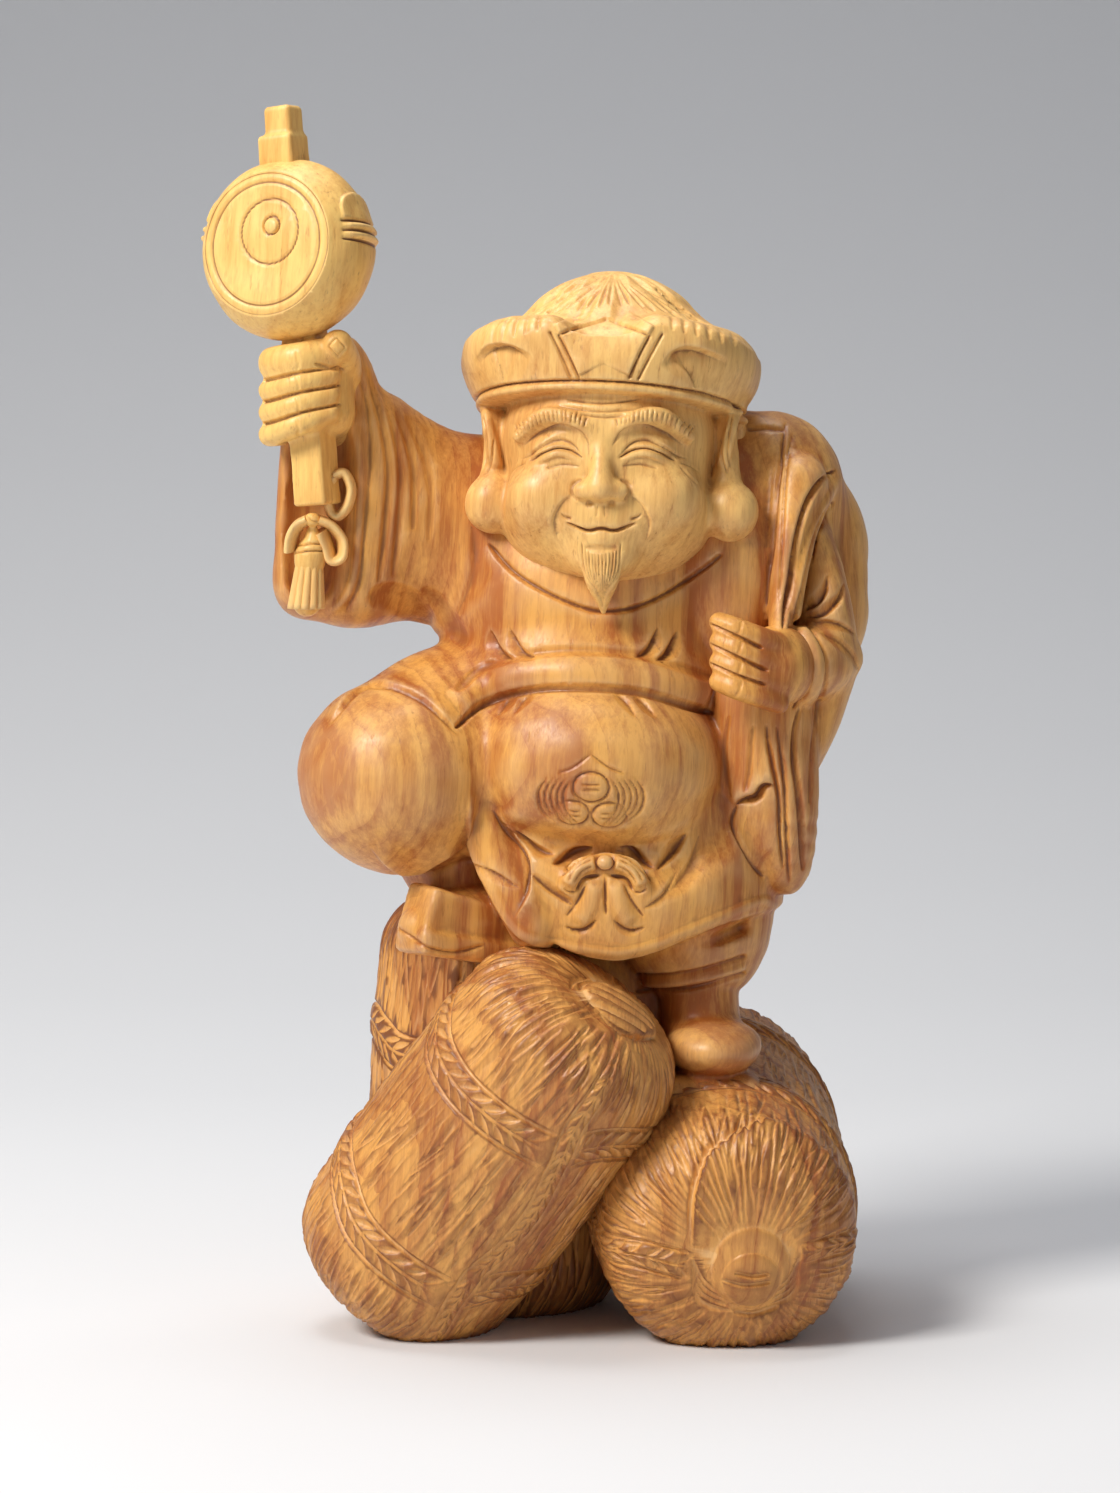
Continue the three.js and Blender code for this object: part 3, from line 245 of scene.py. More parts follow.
class Sheet:
    def __init__(self, low, high, step, around=None):
        self.low = np.array(low, float)
        self.step = step
        self.size = np.ceil((np.array(high) - self.low) / step).astype(int) + 1
        self.around = around  # width after which the sheet meets itself, on a round piece
        self.rise = np.zeros(self.size, np.float32)
        self.sunk = np.zeros(self.size, np.float32)

    def near(self, points, reach):
        # the part of the sheet round a path: distance to it, which side of it, and how far along it
        points = np.asarray(points, float)
        length = np.linalg.norm(np.diff(points, axis=0), axis=1).sum()
        path = spline(points, max(4, int(length / (4 * self.step)) + 2)) if len(points) > 2 else points
        low = ((path.min(0) - reach - self.low) / self.step).astype(int) - 1
        high = ((path.max(0) + reach - self.low) / self.step).astype(int) + 2
        ended = slice(0 if self.around is None else 1, 2)  # the ways in which the sheet has an end
        low[ended], high[ended] = np.maximum(low[ended], 0), np.minimum(high[ended], self.size[ended])
        if (high - low).min() <= 0:
            return None
        u, w = (o + self.step * np.arange(a, b) for o, a, b in zip(self.low, low, high))
        least = np.full((u.size, w.size), 1e9)
        side, along = np.zeros_like(least), np.zeros_like(least)
        steps = np.linalg.norm(np.diff(path, axis=0), axis=1)
        run = np.concatenate([[0], np.cumsum(steps)])
        for n, (a, b) in enumerate(zip(path[:-1], path[1:])):
            ends = zip((u, w), np.minimum(a, b) - reach, np.maximum(a, b) + reach)
            cut = tuple(slice(*np.searchsorted(axis, (first, last))) for axis, first, last in ends)
            x, z, d = u[cut[0], None], w[None, cut[1]], b - a
            t = np.clip(((x - a[0]) * d[0] + (z - a[1]) * d[1]) / max(d @ d, 1e-9), 0, 1)
            du, dw = x - a[0] - t * d[0], z - a[1] - t * d[1]
            found = du * du + dw * dw
            closer = found < least[cut]
            least[cut] = np.where(closer, found, least[cut])
            side[cut] = np.where(closer, np.sign(d[0] * dw - d[1] * du), side[cut])
            along[cut] = np.where(closer, (run[n] + t * steps[n]) / run[-1], along[cut])
        rows = np.arange(low[0], high[0])
        if self.around is not None:
            rows = rows % int(round(self.around / self.step))
        return (rows[:, None], np.arange(low[1], high[1])[None, :]), np.sqrt(least), side, along

    def groove(self, points, width, depth, ends=0.3, sharp=1.4):
        # a gouge cut that runs out over the given share of its length at each end
        found = self.near(points, width)
        if found is None:
            return
        place, away, _, along = found
        fade = np.clip(np.minimum(along, 1 - along) / max(ends, 1e-3), 0, 1) if ends else np.ones_like(along)
        fade = np.sqrt(fade * (2 - fade))
        half = width / 2 * (0.3 + 0.7 * fade)
        cut = depth * (0.15 + 0.85 * fade) * np.clip(1 - (away / half) ** sharp, 0, 1)
        self.sunk[place] = np.maximum(self.sunk[place], cut)

    def ridge(self, points, width, height, ends=0.2):
        found = self.near(points, width)
        if found is None:
            return
        place, away, _, along = found
        fade = np.clip(np.minimum(along, 1 - along) / ends, 0, 1) if ends else 1
        self.rise[place] += height * fade * np.clip(1 - (2 * away / width) ** 2, 0, 1) ** 1.2

    def layer(self, points, height, reach, side=1, wall=0.35, ends=0.15):
        # the edge of a layer of cloth or straw: a steep wall on the line, running out to nothing at reach
        found = self.near(points, reach)
        if found is None:
            return
        place, away, found, along = found
        off = away * found * side
        fade = np.clip(np.minimum(along, 1 - along) / ends, 0, 1) if ends else 1
        shape = np.clip(off / wall, 0, 1) * np.clip(1 - off / reach, 0, 1) ** 1.5
        self.rise[place] += height * fade * shape

    def leaf(self, points, width, depth, side=1):
        # a crescent cut: steep on one side, gentle on the other
        found = self.near(points, width * 1.3)
        if found is None:
            return
        place, away, found, along = found
        fade = np.sin(np.pi * np.clip(along, 0, 1)) ** 0.7
        off = away * found * side
        steep, gentle = width * 0.22, width * 0.9
        shape = np.where(off > 0, 1 - off / (gentle * fade + 1e-3), 1 + off / (steep * fade + 1e-3))
        cut = depth * fade * np.clip(shape, 0, 1)
        self.sunk[place] = np.maximum(self.sunk[place], cut)

    def mound(self, at, radii, height, turn=0):
        # a round swelling
        u, w = (o + self.step * np.arange(n) for o, n in zip(self.low, self.size))
        u, w = u[:, None] - at[0], w[None, :] - at[1]
        cos, sin = math.cos(math.radians(turn)), math.sin(math.radians(turn))
        away = np.hypot((u * cos + w * sin) / radii[0], (w * cos - u * sin) / radii[1])
        self.rise += height * np.sqrt(np.clip(1 - away * away, 0, 1))

    def wipe(self, points, width):
        # takes away the cuts along a path
        found = self.near(points, width)
        if found is not None:
            self.sunk[found[0]] *= np.clip(2 * found[1] / width - 0.9, 0, 1)

    def heights(self, u, w):
        # how far the wood stands out at places on the sheet
        sheet = self.rise - self.sunk
        x = (u - self.low[0]) / self.step
        y = np.clip((w - self.low[1]) / self.step, 0, self.size[1] - 1.001)
        if self.around is None:
            x = np.clip(x, 0, self.size[0] - 1.001)
            i = x.astype(int)
            after = i + 1
        else:
            turns = int(round(self.around / self.step))
            i = np.floor(x).astype(int)
            x = x - i
            i, after = i % turns, (i + 1) % turns
            x = i + x
        j = y.astype(int)
        fx, fy = x - i, y - j
        low = sheet[i, j] * (1 - fx) + sheet[after, j] * fx
        high = sheet[i, j + 1] * (1 - fx) + sheet[after, j + 1] * fx
        return low * (1 - fy) + high * fy


# Meshes

def meshOf(name, points, faces):
    mesh = bpy.data.meshes.new(name)
    mesh.vertices.add(len(points))
    mesh.vertices.foreach_set("co", np.asarray(points, np.float32).ravel())
    sides = faces.shape[1]
    mesh.loops.add(faces.size)
    mesh.loops.foreach_set("vertex_index", faces.astype(np.int32).ravel())
    mesh.polygons.add(len(faces))
    mesh.polygons.foreach_set("loop_start", np.arange(0, faces.size, sides, dtype=np.int32))
    mesh.update(calc_edges=True)
    return mesh


def pieceOf(name, mesh):
    piece = bpy.data.objects.new(name, mesh)
    bpy.context.scene.collection.objects.link(piece)
    return piece


def applied(piece):
    # the piece with its modifiers made part of its mesh
    graph = bpy.context.evaluated_depsgraph_get()
    mesh = bpy.data.meshes.new_from_object(piece.evaluated_get(graph))
    old = piece.data
    piece.modifiers.clear()
    piece.data = mesh
    bpy.data.meshes.remove(old)
    return piece


def places(mesh):
    flat = np.empty(len(mesh.vertices) * 3, np.float32)
    mesh.vertices.foreach_get("co", flat)
    return flat.reshape(-1, 3).astype(float)


def normals(mesh):
    flat = np.empty(len(mesh.vertices) * 3, np.float32)
    mesh.vertex_normals.foreach_get("vector", flat)
    return flat.reshape(-1, 3).astype(float)


def movePoints(mesh, points):
    mesh.vertices.foreach_set("co", points.astype(np.float32).ravel())
    mesh.update()


def refined(piece, levels=1):
    smoother = piece.modifiers.new("smoother", "SUBSURF")
    smoother.levels = smoother.render_levels = levels
    return applied(piece)


def triangles(mesh):
    return len(mesh.loops) - 2 * len(mesh.polygons)


def thinned(piece, most):
    # folds away the triangles that the shape doesn't need
    now = triangles(piece.data)
    if now > most:
        fold = piece.modifiers.new("fold", "DECIMATE")
        fold.ratio = most / now
        applied(piece)
    return piece


def layFrom(points, across, sheet, axes=(0, 2), facing=(0, -1, 0), depth=4.0):
    # lays a sheet on the wood from one side, on the nearest surface only
    u, w = points[:, axes[0]], points[:, axes[1]]
    facing = np.array(facing, float)
    towards = across @ facing
    far = -(points @ facing)
    cell, most = 1.2, 400  # the nearest surface is found in cells of this size
    i = ((u - sheet.low[0]) / cell).astype(int).clip(0, most)
    j = ((w - sheet.low[1]) / cell).astype(int).clip(0, most)
    nearest = np.full((most + 1, most + 1), 1e9)
    np.minimum.at(nearest, (i[towards > 0], j[towards > 0]), far[towards > 0])
    seen = (far - nearest[i, j] < depth) * np.clip((towards - 0.08) / 0.25, 0, 1)
    high = sheet.low + sheet.step * (sheet.size - 1)
    inSheet = (u >= sheet.low[0]) & (w >= sheet.low[1]) & (u <= high[0]) & (w <= high[1])
    use = inSheet & (seen > 0)
    lift = np.zeros(len(points))
    lift[use] = sheet.heights(u[use], w[use]) * seen[use]
    return points + across * lift[:, None]


def markCuts(mesh, turns=(3, 14)):
    # for each corner, how deep it lies under the smoothed surface round it, in millimetres
    edges = np.empty(len(mesh.edges) * 2, np.int32)
    mesh.edges.foreach_get("vertices", edges)
    a, b = edges.reshape(-1, 2).T
    points = places(mesh)
    across = normals(mesh)
    count = len(points)
    share = np.bincount(a, minlength=count) + np.bincount(b, minlength=count)
    smooth = points.copy()
    pull = 0.6
    depths = []
    for n in range(1, max(turns) + 1):
        total = [np.bincount(a, smooth[b, k], count) + np.bincount(b, smooth[a, k], count) for k in range(3)]
        smooth = (1 - pull) * smooth + pull * np.stack(total, 1) / share[:, None]
        if n in turns:
            depths.append(((smooth - points) * across).sum(1))
    # these depths darken the wood in cuts and hollows, which is partly painted shade
    for name, depth in zip(("fineCut", "broadCut"), depths):
        layer = mesh.attributes.new(name, "FLOAT", "POINT")
        layer.data.foreach_set("value", depth.astype(np.float32))


def finished(piece, material):
    # shades the piece, moves it to the frame's place and size, and gives it to the frame
    mesh = piece.data
    markCuts(mesh)
    points = places(mesh) + figure["toFrame"]
    points[:, 2] = np.clip(points[:, 2], 0, figure["height"])
    movePoints(mesh, points * metres)
    mesh.materials.clear()
    mesh.materials.append(material)
    mesh.shade_smooth()
    mesh.update()
    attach(piece, figure["body"])
    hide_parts(figure["node"])
    report(f"{piece.name}: {triangles(mesh)} triangles")


# Oiled zelkova wood. The growth rings stand round a pith far behind the carving's left, so they show as
# upright stripes in front, and as ovals where the surface turns towards them.

woodSizes = {
    "pith": (118.0, 74.0),
    "ringWidth": 3.1,
    "bandWidth": 7.0,
    "warp": 5.5,
    "poreLength": 5.0,
    "roughness": 0.4,
}
# the four tints of the one wood differ partly for the light and shade that fall on each part, painted into
# the colour (the bales darker, low down in shade), and partly for the grain
woodTints = {
    "robe": {"light": (0.75, 0.37, 0.085), "dark": (0.42, 0.125, 0.024), "bands": 0.82, "rings": 0.26},
    "head": {"light": (0.84, 0.51, 0.165), "dark": (0.56, 0.23, 0.055), "bands": 0.34, "rings": 0.16},
    "mallet": {"light": (0.88, 0.56, 0.17), "dark": (0.66, 0.3, 0.065), "bands": 0.3, "rings": 0.14},
    "bales": {"light": (0.72, 0.35, 0.09), "dark": (0.37, 0.11, 0.028), "bands": 0.5, "rings": 0.42},
}


def makeWood(name):
    tint = woodTints[name]
    material = bpy.data.materials.new(name + "Wood")
    material.use_nodes = True
    nodes, links = material.node_tree.nodes, material.node_tree.links
    shader = nodes["Principled BSDF"]

    def node(kind, inputs=(), **settings):
        made = nodes.new("ShaderNode" + kind)
        for key, value in settings.items():
            setattr(made, key, value)
        for key, value in dict(inputs).items():
            if isinstance(value, bpy.types.NodeSocket):
                links.new(value, made.inputs[key])
            else:
                made.inputs[key].default_value = value
        return made

    def sums(operation, a, b=0.0, c=0.0, clamp=False):
        return node("Math", {0: a, 1: b, 2: c}, operation=operation, use_clamp=clamp).outputs[0]

    def noise(vector, scale, detail=2.0, rough=0.5):
        made = node("TexNoise", {"Vector": vector, "Scale": scale, "Detail": detail, "Roughness": rough})
        return made.outputs["Fac"]

    def spread(value, low, high, to=(0.0, 1.0)):
        ends = {"From Min": low, "From Max": high, "To Min": to[0], "To Max": to[1]}
        return node("MapRange", {"Value": value, **ends}).outputs[0]

    def mix(share, a, b):
        made = node("Mix", data_type="RGBA")
        for socket, value in zip((made.inputs[0], made.inputs[6], made.inputs[7]), (share, a, b)):
            if isinstance(value, bpy.types.NodeSocket):
                links.new(value, socket)
            else:
                socket.default_value = value
        return made.outputs[2]

    # millimetres round the pith
    place = node("TexCoord").outputs["Object"]
    grain = node("Mapping", {"Vector": place, "Scale": [1 / metres] * 3,
                             "Rotation": (0.03, -0.05, 0)}, vector_type="POINT").outputs[0]
    stretched = node("Mapping", {"Vector": grain, "Scale": (1, 1, 0.22)}).outputs[0]
    parts = node("SeparateXYZ", {0: grain})
    dx = sums("SUBTRACT", parts.outputs[0], woodSizes["pith"][0])
    dy = sums("SUBTRACT", parts.outputs[1], woodSizes["pith"][1])
    radius = sums("SQRT", sums("ADD", sums("MULTIPLY", dx, dx), sums("MULTIPLY", dy, dy)))
    wander = sums("SUBTRACT", noise(stretched, 0.035, 3, 0.55), 0.5)
    ring = sums("MULTIPLY_ADD", wander, 2 * woodSizes["warp"], radius)
    # broad red-brown bands, yearly rings and the pores along them
    along = node("CombineXYZ", {0: ring, 1: sums("MULTIPLY", parts.outputs[2], 0.035)}).outputs[0]
    band = spread(noise(along, 1 / woodSizes["bandWidth"], 2.5, 0.6), 0.45, 0.6)
    year = sums("FRACT", sums("DIVIDE", ring, woodSizes["ringWidth"]))
    early = sums("POWER", year, 4)
    pores = node("Mapping", {"Vector": grain, "Scale": (1, 1, 1 / woodSizes["poreLength"])}).outputs[0]
    speck = spread(noise(pores, 1.5, 2, 0.7), 0.56, 0.72)
    fine = noise(node("Mapping", {"Vector": grain, "Scale": (1, 1, 0.1)}).outputs[0], 3.2, 2, 0.6)
    streak = noise(node("Mapping", {"Vector": grain, "Scale": (1, 1, 0.07)}).outputs[0], 0.75, 3, 0.65)
    mottle = noise(stretched, 0.11, 2, 0.5)
    poreDark = sums("MULTIPLY", speck, sums("MULTIPLY_ADD", early, 0.55, 0.25), clamp=True)
    # colour
    light, dark = (*tint["light"], 1), (*tint["dark"], 1)
    share = sums("MULTIPLY_ADD", early, tint["rings"], spread(fine, 0.3, 0.75, (-0.1, 0.16)))
    share = sums("MULTIPLY_ADD", band, tint["bands"], share)
    share = sums("ADD", share, spread(mottle, 0.3, 0.7, (-0.12, 0.12)))
    share = sums("ADD", share, spread(streak, 0.36, 0.66, (-0.16, 0.36)), clamp=True)
    colour = mix(share, light, dark)
    colour = mix(sums("MULTIPLY", poreDark, 0.72), colour, (0.3, 0.09, 0.025, 1))
    # painted shade: cuts and broad hollows are darkened, partly for the oil that gathers in them and partly
    # for the shade that falls there; convex edges are made paler
    fineCut = node("Attribute", attribute_name="fineCut").outputs["Fac"]
    broadCut = node("Attribute", attribute_name="broadCut").outputs["Fac"]
    colour = mix(spread(broadCut, 0.02, 0.4, (0, 0.72)), colour, (0.25, 0.075, 0.02, 1))
    colour = mix(spread(fineCut, 0.015, 0.16, (0, 0.75)), colour, (0.17, 0.05, 0.014, 1))
    colour = mix(spread(broadCut, -0.05, -0.4, (0, 0.35)), colour, (0.92, 0.66, 0.34, 1))
    links.new(colour, shader.inputs["Base Color"])
    smooth = woodSizes["roughness"]
    rough = sums("MULTIPLY_ADD", poreDark, 0.3, spread(fine, 0.3, 0.7, (smooth - 0.05, smooth + 0.07)))
    links.new(rough, shader.inputs["Roughness"])
    shader.inputs["Specular IOR Level"].default_value = 0.42
    height = sums("SUBTRACT", sums("MULTIPLY", fine, 0.35), poreDark)
    bump = node("Bump", {"Height": height, "Strength": 0.35, "Distance": 0.12 * metres})
    links.new(bump.outputs["Normal"], shader.inputs["Normal"])
    return material


# The robe with the legs, the arms in their sleeves and the sack

robeSizes = {
    "grid": 0.62,
    "drawing": 0.2,
    "triangles": 190000,
    "fold": (2.4, 1.3),  # width and depth of a crescent fold over the belt
    "beltWidth": 6.0,
    "beltHeight": 0.9,
    "toolMarks": 0.05,
}


def robeForms(field):
    field.join(ball([2, 2, 124], [25, 19, 22]), 1)  # chest and back
    field.join(ball([3, 9, 95], [25, 20, 26]), 8)  # hips

    def hem(x, y, z):
        off = x - 5
        return 65.2 + np.where(off < 0, 0.03 * off * off, 7.5 - 7.5 * np.exp(-(off / 16) ** 2)) - z

    field.join(within(ball([5, -1, 77], [30, 24, 31]), hem), 4)  # skirt
    field.join(ball([1.8, -3, 111], [23, 18.6, 13]), 4)  # waist
    field.join(ball([1.6, -9, 98], [22.6, 20.5, 17.5]), 1.5)  # belly
    # hollow under the belly, with the knot of the sash and its loops in it
    hollow = [[-14, -22, 88, 1.4, 2.2], [-8, -24, 85, 2.6, 3.8], [3, -26, 83.6, 3.2, 4.8],
              [12, -25, 84, 2.8, 4.4],
              [19, -22, 87, 1.8, 3], [23.4, -18, 92, 1.2, 2]]
    field.cut(limb(hollow), 2)
    field.cut(limb([[10, -25.4, 80, 1.6, 2.4], [17, -23.4, 82, 3, 3.4], [23, -20.4, 86.6, 3.2, 3.4],
                    [27, -16.6, 92.6, 2.4, 2.4]]), 3)
    field.join(ball([3.4, -23.8, 82.2], [1.7, 1.8, 1.6]), 0.5)
    for side in (-1, 1):
        loop = [[1.2, -23.6, 82.2, 1.4, 1.2], [4.2, -24, 80.8, 2, 1.4], [6.4, -24, 77.4, 1.6, 1.1]]
        field.join(limb([[3.4 + side * p[0], *p[1:]] for p in loop], steps=6), 0.6)
    field.join(ball([3, 1, 140], [20, 13, 12]), 5)  # shoulders


def legForms(field):
    # raised right leg, with its big round knee
    field.join(ball([-31.5, -9, 95.5], [18, 18.5, 17], [0, 8, 0]), 3)
    field.join(ball([-24, -3, 104], [13, 12, 13.5]), 5)
    # front of the robe, between the knee and the belly
    field.join(limb([[-18, -13, 99, 2, 4], [-17.4, -15, 91, 3.4, 5], [-15.4, -16.4, 84, 4.4, 5],
                     [-12, -18, 77, 4.6, 5],
                     [-8.5, -19.4, 71, 4.5, 5]]), 1)
    field.join(limb([[-8, 0, 96, 17, 16], [-24, -4, 98, 17, 16]]), 4)
    field.join(limb([[-24, -2, 84, 10, 10], [-19, -6, 72, 8, 8]]), 1)
    field.join(limb([[-8, -6, 71, 6, 7], [-19, -12, 71, 6.4, 6], [-27.8, -17, 69.8, 4.4, 4.2]], [0, 0, 1]),
               0.6)
    field.join(block([-20, -13.6, 70.6], [10.6, 5.2, 4.2], 0.9, [-8, 16, 30]), 0.5)  # boot
    field.join(block([-21, -14.6, 66.4], [10.6, 5.6, 2.2], 1.2, [-8, 8, 30]), 0.4)  # sole
    # standing left leg
    field.join(limb([[16, -1, 80, 18, 16], [19.4, -3, 69, 13.4, 13], [19, -4, 64, 9, 10]]), 1.4)
    field.join(limb([[20, -4.5, 60, 6.8, 8], [20.5, -6, 48, 6.8, 8.5]]), 0.5)
    # undercut below the hem
    field.cut(limb([[-9, -21, 64, 1.6, 2.6], [4, -24, 62.8, 2, 3], [13, -22, 64.4, 1.7, 3],
                    [21.6, -18.4, 67.4, 1.5, 3],
                    [28, -13.6, 69.8, 1.4, 3]]), 0.5)
    field.join(ball([22.2, -12, 49], [8.4, 10.6, 5]), 1.5)  # foot
    field.join(block([20, -9, 40.6], [11, 10.5, 4], 3), 1.5)  # ledge under the foot
    field.join(ball([4, 9, 44], [20, 17, 30]), 1)  # wood left standing between the bales


def raisedSleeveForms(field):
    field.join(limb([[-8, 4, 135, 20, 11], [-24, 2, 138, 17, 9.5], [-36.5, -1, 141, 19, 8.5]]), 6)
    field.join(block([-42.9, -2, 142], [10.3, 8.5, 20], 6.5, [0, 3.5, 0]), 6)
    # the forearm, up to the thumb
    field.join(limb([[-36, -1, 148, 8, 8], [-38.6, -4, 158, 5, 6], [-40, -7, 166, 3.2, 4.4],
                     [-40.6, -8, 169, 2, 3]]), 2)
    field.cut(limb([[-46, -12, 153, 6, 6], [-47.6, -12, 138, 6.4, 6], [-47.8, -12, 130, 5, 5]]),
              0.8)  # mouth


def holdingSleeveForms(field):
    # shoulder, and the panel between the chest and the sack
    field.join(ball([24, -1, 134], [10.5, 12, 20]), 3)
    field.join(ball([26, -4, 128], [9, 11, 18]), 3)
    # upper arm, elbow and forearm, and the sleeve behind them
    field.join(limb([[40.4, -3, 136, 2.8, 5], [41, -4, 130, 4.2, 6], [41.8, -5, 122, 5, 7],
                     [42, -5, 118, 5.2, 7.5]]), 0.8)
    field.join(limb([[42, -4, 115.4, 5, 6.6], [39.6, -9, 115.2, 6.4, 6.6], [36.4, -13, 115, 6.6, 6]]), 1.5)
    field.join(limb([[42.6, -3, 112, 4.4, 7], [40.6, -3, 104, 3.6, 7], [38.4, -3, 97, 2.4, 6.5]]), 1.2)
    # its hanging part
    field.join(limb([[30.6, -9.5, 110, 9.2, 7], [30.8, -10, 98, 9.6, 7], [31.6, -10, 89, 8.8, 6.6],
                     [33.8, -9, 81.6, 6, 5.6],
                     [34.8, -8, 78.4, 3.4, 4.4]]), 1.2)


def sackForms(field):
    field.join(ball([22, 20, 123], [27.9, 20, 31], [0, 4, 0]), 2)
    field.join(ball([36, 11, 133.5], [14.36, 13, 17.5]), 3)
    field.join(ball([38, 8, 124], [12.2, 10, 15]), 2)
    # its neck, pulled over the shoulder to the hand
    field.join(ball([26, 6, 145], [10, 10, 13.6]), 3)
    field.join(ball([32.8, 4, 144.4], [12.8, 12, 14]), 3)
    field.join(limb([[33, -17.6, 119, 2, 3], [33.6, -13.4, 126, 2.2, 3], [34.8, -11, 136, 3.2, 4],
                     [37, -6, 146, 5, 5]]), 1.4)
    # the rim of its mouth, which turns over beside the arm
    rim = [[43, 1, 145.6], [41.9, -2.6, 144.4], [40, -7, 141], [38.2, -10, 136.4], [37, -12, 131.6],
           [35.6, -14, 124]]
    field.join(limb([[*p, 1.5, 2.4] for p in rim]), 0.4)


def drawRobe(sheet):
    fold = robeSizes["fold"]
    wide, high = robeSizes["beltWidth"], robeSizes["beltHeight"]
    collar = [[-16.5, 135.6], [-12.4, 131.1], [-6.8, 127.6], [-0.8, 125], [3.5, 124.2], [8.9, 125],
              [14.9, 127.7],
              [19.6, 131], [23.4, 134]]
    sheet.groove(collar, 1.3, 1.0, ends=0.05)
    sheet.layer(collar, -0.35, 6, side=1, wall=0.8, ends=0.1)
    # belt
    belt = np.array([[-22, 107.6], [-17, 111.6], [-8.4, 114.2], [0.8, 114.7], [9.3, 113.9], [16, 111.9],
                     [22, 109.6]])
    sheet.ridge(belt, wide * 1.1, high, ends=0.03)
    sheet.groove(belt - [0, wide / 2], 1.3, 1.1, ends=0.04)
    sheet.layer(belt - [0, wide / 2], -0.5, 5, side=-1, wall=0.5, ends=0.1)
    sheet.groove(belt + [0, wide / 2 - 0.2], 2.2, 0.6, ends=0.06, sharp=2)
    # crescent folds over the belt
    for points in ([[-16.2, 121], [-14.6, 117.6], [-11.4, 115.8]],
                   [[-12.8, 121.2], [-10.8, 117.8], [-7.4, 116.3]]):
        sheet.leaf(points, *fold, side=-1)
    for points in ([[12.6, 121.6], [10.7, 118], [7.4, 116.3]], [[15.9, 121], [14.1, 117.5], [11.4, 115.6]]):
        sheet.leaf(points, *fold, side=1)
    # small folds under it
    for points in ([[-11, 111.2], [-13.4, 109.6], [-15, 106.6]],
                   [[-8.2, 111.2], [-10.9, 109.6], [-12.2, 107]]):
        sheet.leaf(points, 1.7, 0.6, side=1)
    for points in ([[4.6, 111.4], [7.2, 109.6], [8.6, 106.8]], [[8, 111.2], [10.4, 109.2], [12.2, 106.6]]):
        sheet.leaf(points, 1.7, 0.7, side=-1)
    drawCrest(sheet, 1.0, 93.2)
    # creases under the belly
    for points, deep in (
        ([[-11.6, 87.6], [-8.4, 84.6], [-5, 83]], 1.6),
        ([[-5.6, 81.4], [-2.6, 83.6], [1.6, 84.4]], 1.9),
        ([[5.6, 84.4], [8.6, 83.8], [11.8, 80.8]], 1.9),
        ([[17.6, 86.6], [15.6, 83.4], [12.2, 80.4]], 1.7),
    ):
        sheet.leaf(points, 2.6, deep, side=-1)
    # the lapel that turns over on the left, with its folds
    sheet.layer([[-15.6, 90.6], [-13.2, 87], [-10.1, 83.6], [-9.2, 80.2], [-10, 76.3], [-12, 72.4]], 1.3, 7,
                side=1)
    sheet.groove([[-15.6, 90.6], [-13.2, 87], [-10.1, 83.6], [-9.2, 80.2], [-10, 76.3]], 1.1, 0.5)
    sheet.leaf([[-18.8, 81.8], [-14.9, 79.9], [-10.8, 77.6]], 1.7, 0.8, side=-1)
    sheet.leaf([[-9.9, 81], [-6.1, 77.2], [-1.2, 74]], 1.9, 1.0, side=1)
    # folds that fall from the sash on the right
    sheet.leaf([[19.6, 86.4], [17.4, 80.6], [11.2, 74.4]], 3, 0.7, side=1)
    sheet.leaf([[15.6, 80.4], [13.2, 76.6], [9.8, 74.2]], 1.8, 0.7, side=1)
    drawBow(sheet, 3.4, 82.2)
    # robe over the knee
    knee = [[-43.4, 105], [-38.9, 110.3], [-34.9, 111.3], [-30.7, 110.5], [-26.4, 108.2], [-21.6, 103.6]]
    sheet.layer(knee, 0.9, 7, side=1, wall=0.4)
    sheet.groove(knee, 1.0, 0.4)
    # lip of the trouser leg
    sheet.layer([[-36.6, 84.4], [-32.4, 79.8], [-29, 79], [-24.7, 81.6], [-20.4, 84]], 0.9, 4.5, side=1)
    # hem
    hem = [[-19.6, 94], [-20.4, 88], [-18.6, 81.5], [-16.2, 76.7], [-13.6, 72.1], [-10.7, 68.9],
           [-5.6, 66.8],
           [1.8, 65.9], [6.1, 65.6], [12, 67], [17, 69], [23, 71.2], [30, 73.2], [34, 71]]
    sheet.ridge(np.array(hem) + [0.3, 1.1], 2.2, 0.35, ends=0.05)
    sheet.layer(hem[:7], 0.7, 4, side=1, ends=0.1)
    # standing leg: rim of the cuff
    sheet.ridge([[9, 58.8], [18.2, 60.4], [28, 62.8]], 1.5, 0.6, ends=0.05)
    sheet.groove([[9, 57.6], [18.2, 59.1], [28, 61.4]], 1.2, 0.7, ends=0.05)
    sheet.groove([[9, 60.4], [18.2, 62], [28, 64.6]], 1.4, 0.8, ends=0.05)
    drawShoes(sheet)
    drawSleeves(sheet)
    drawSack(sheet)


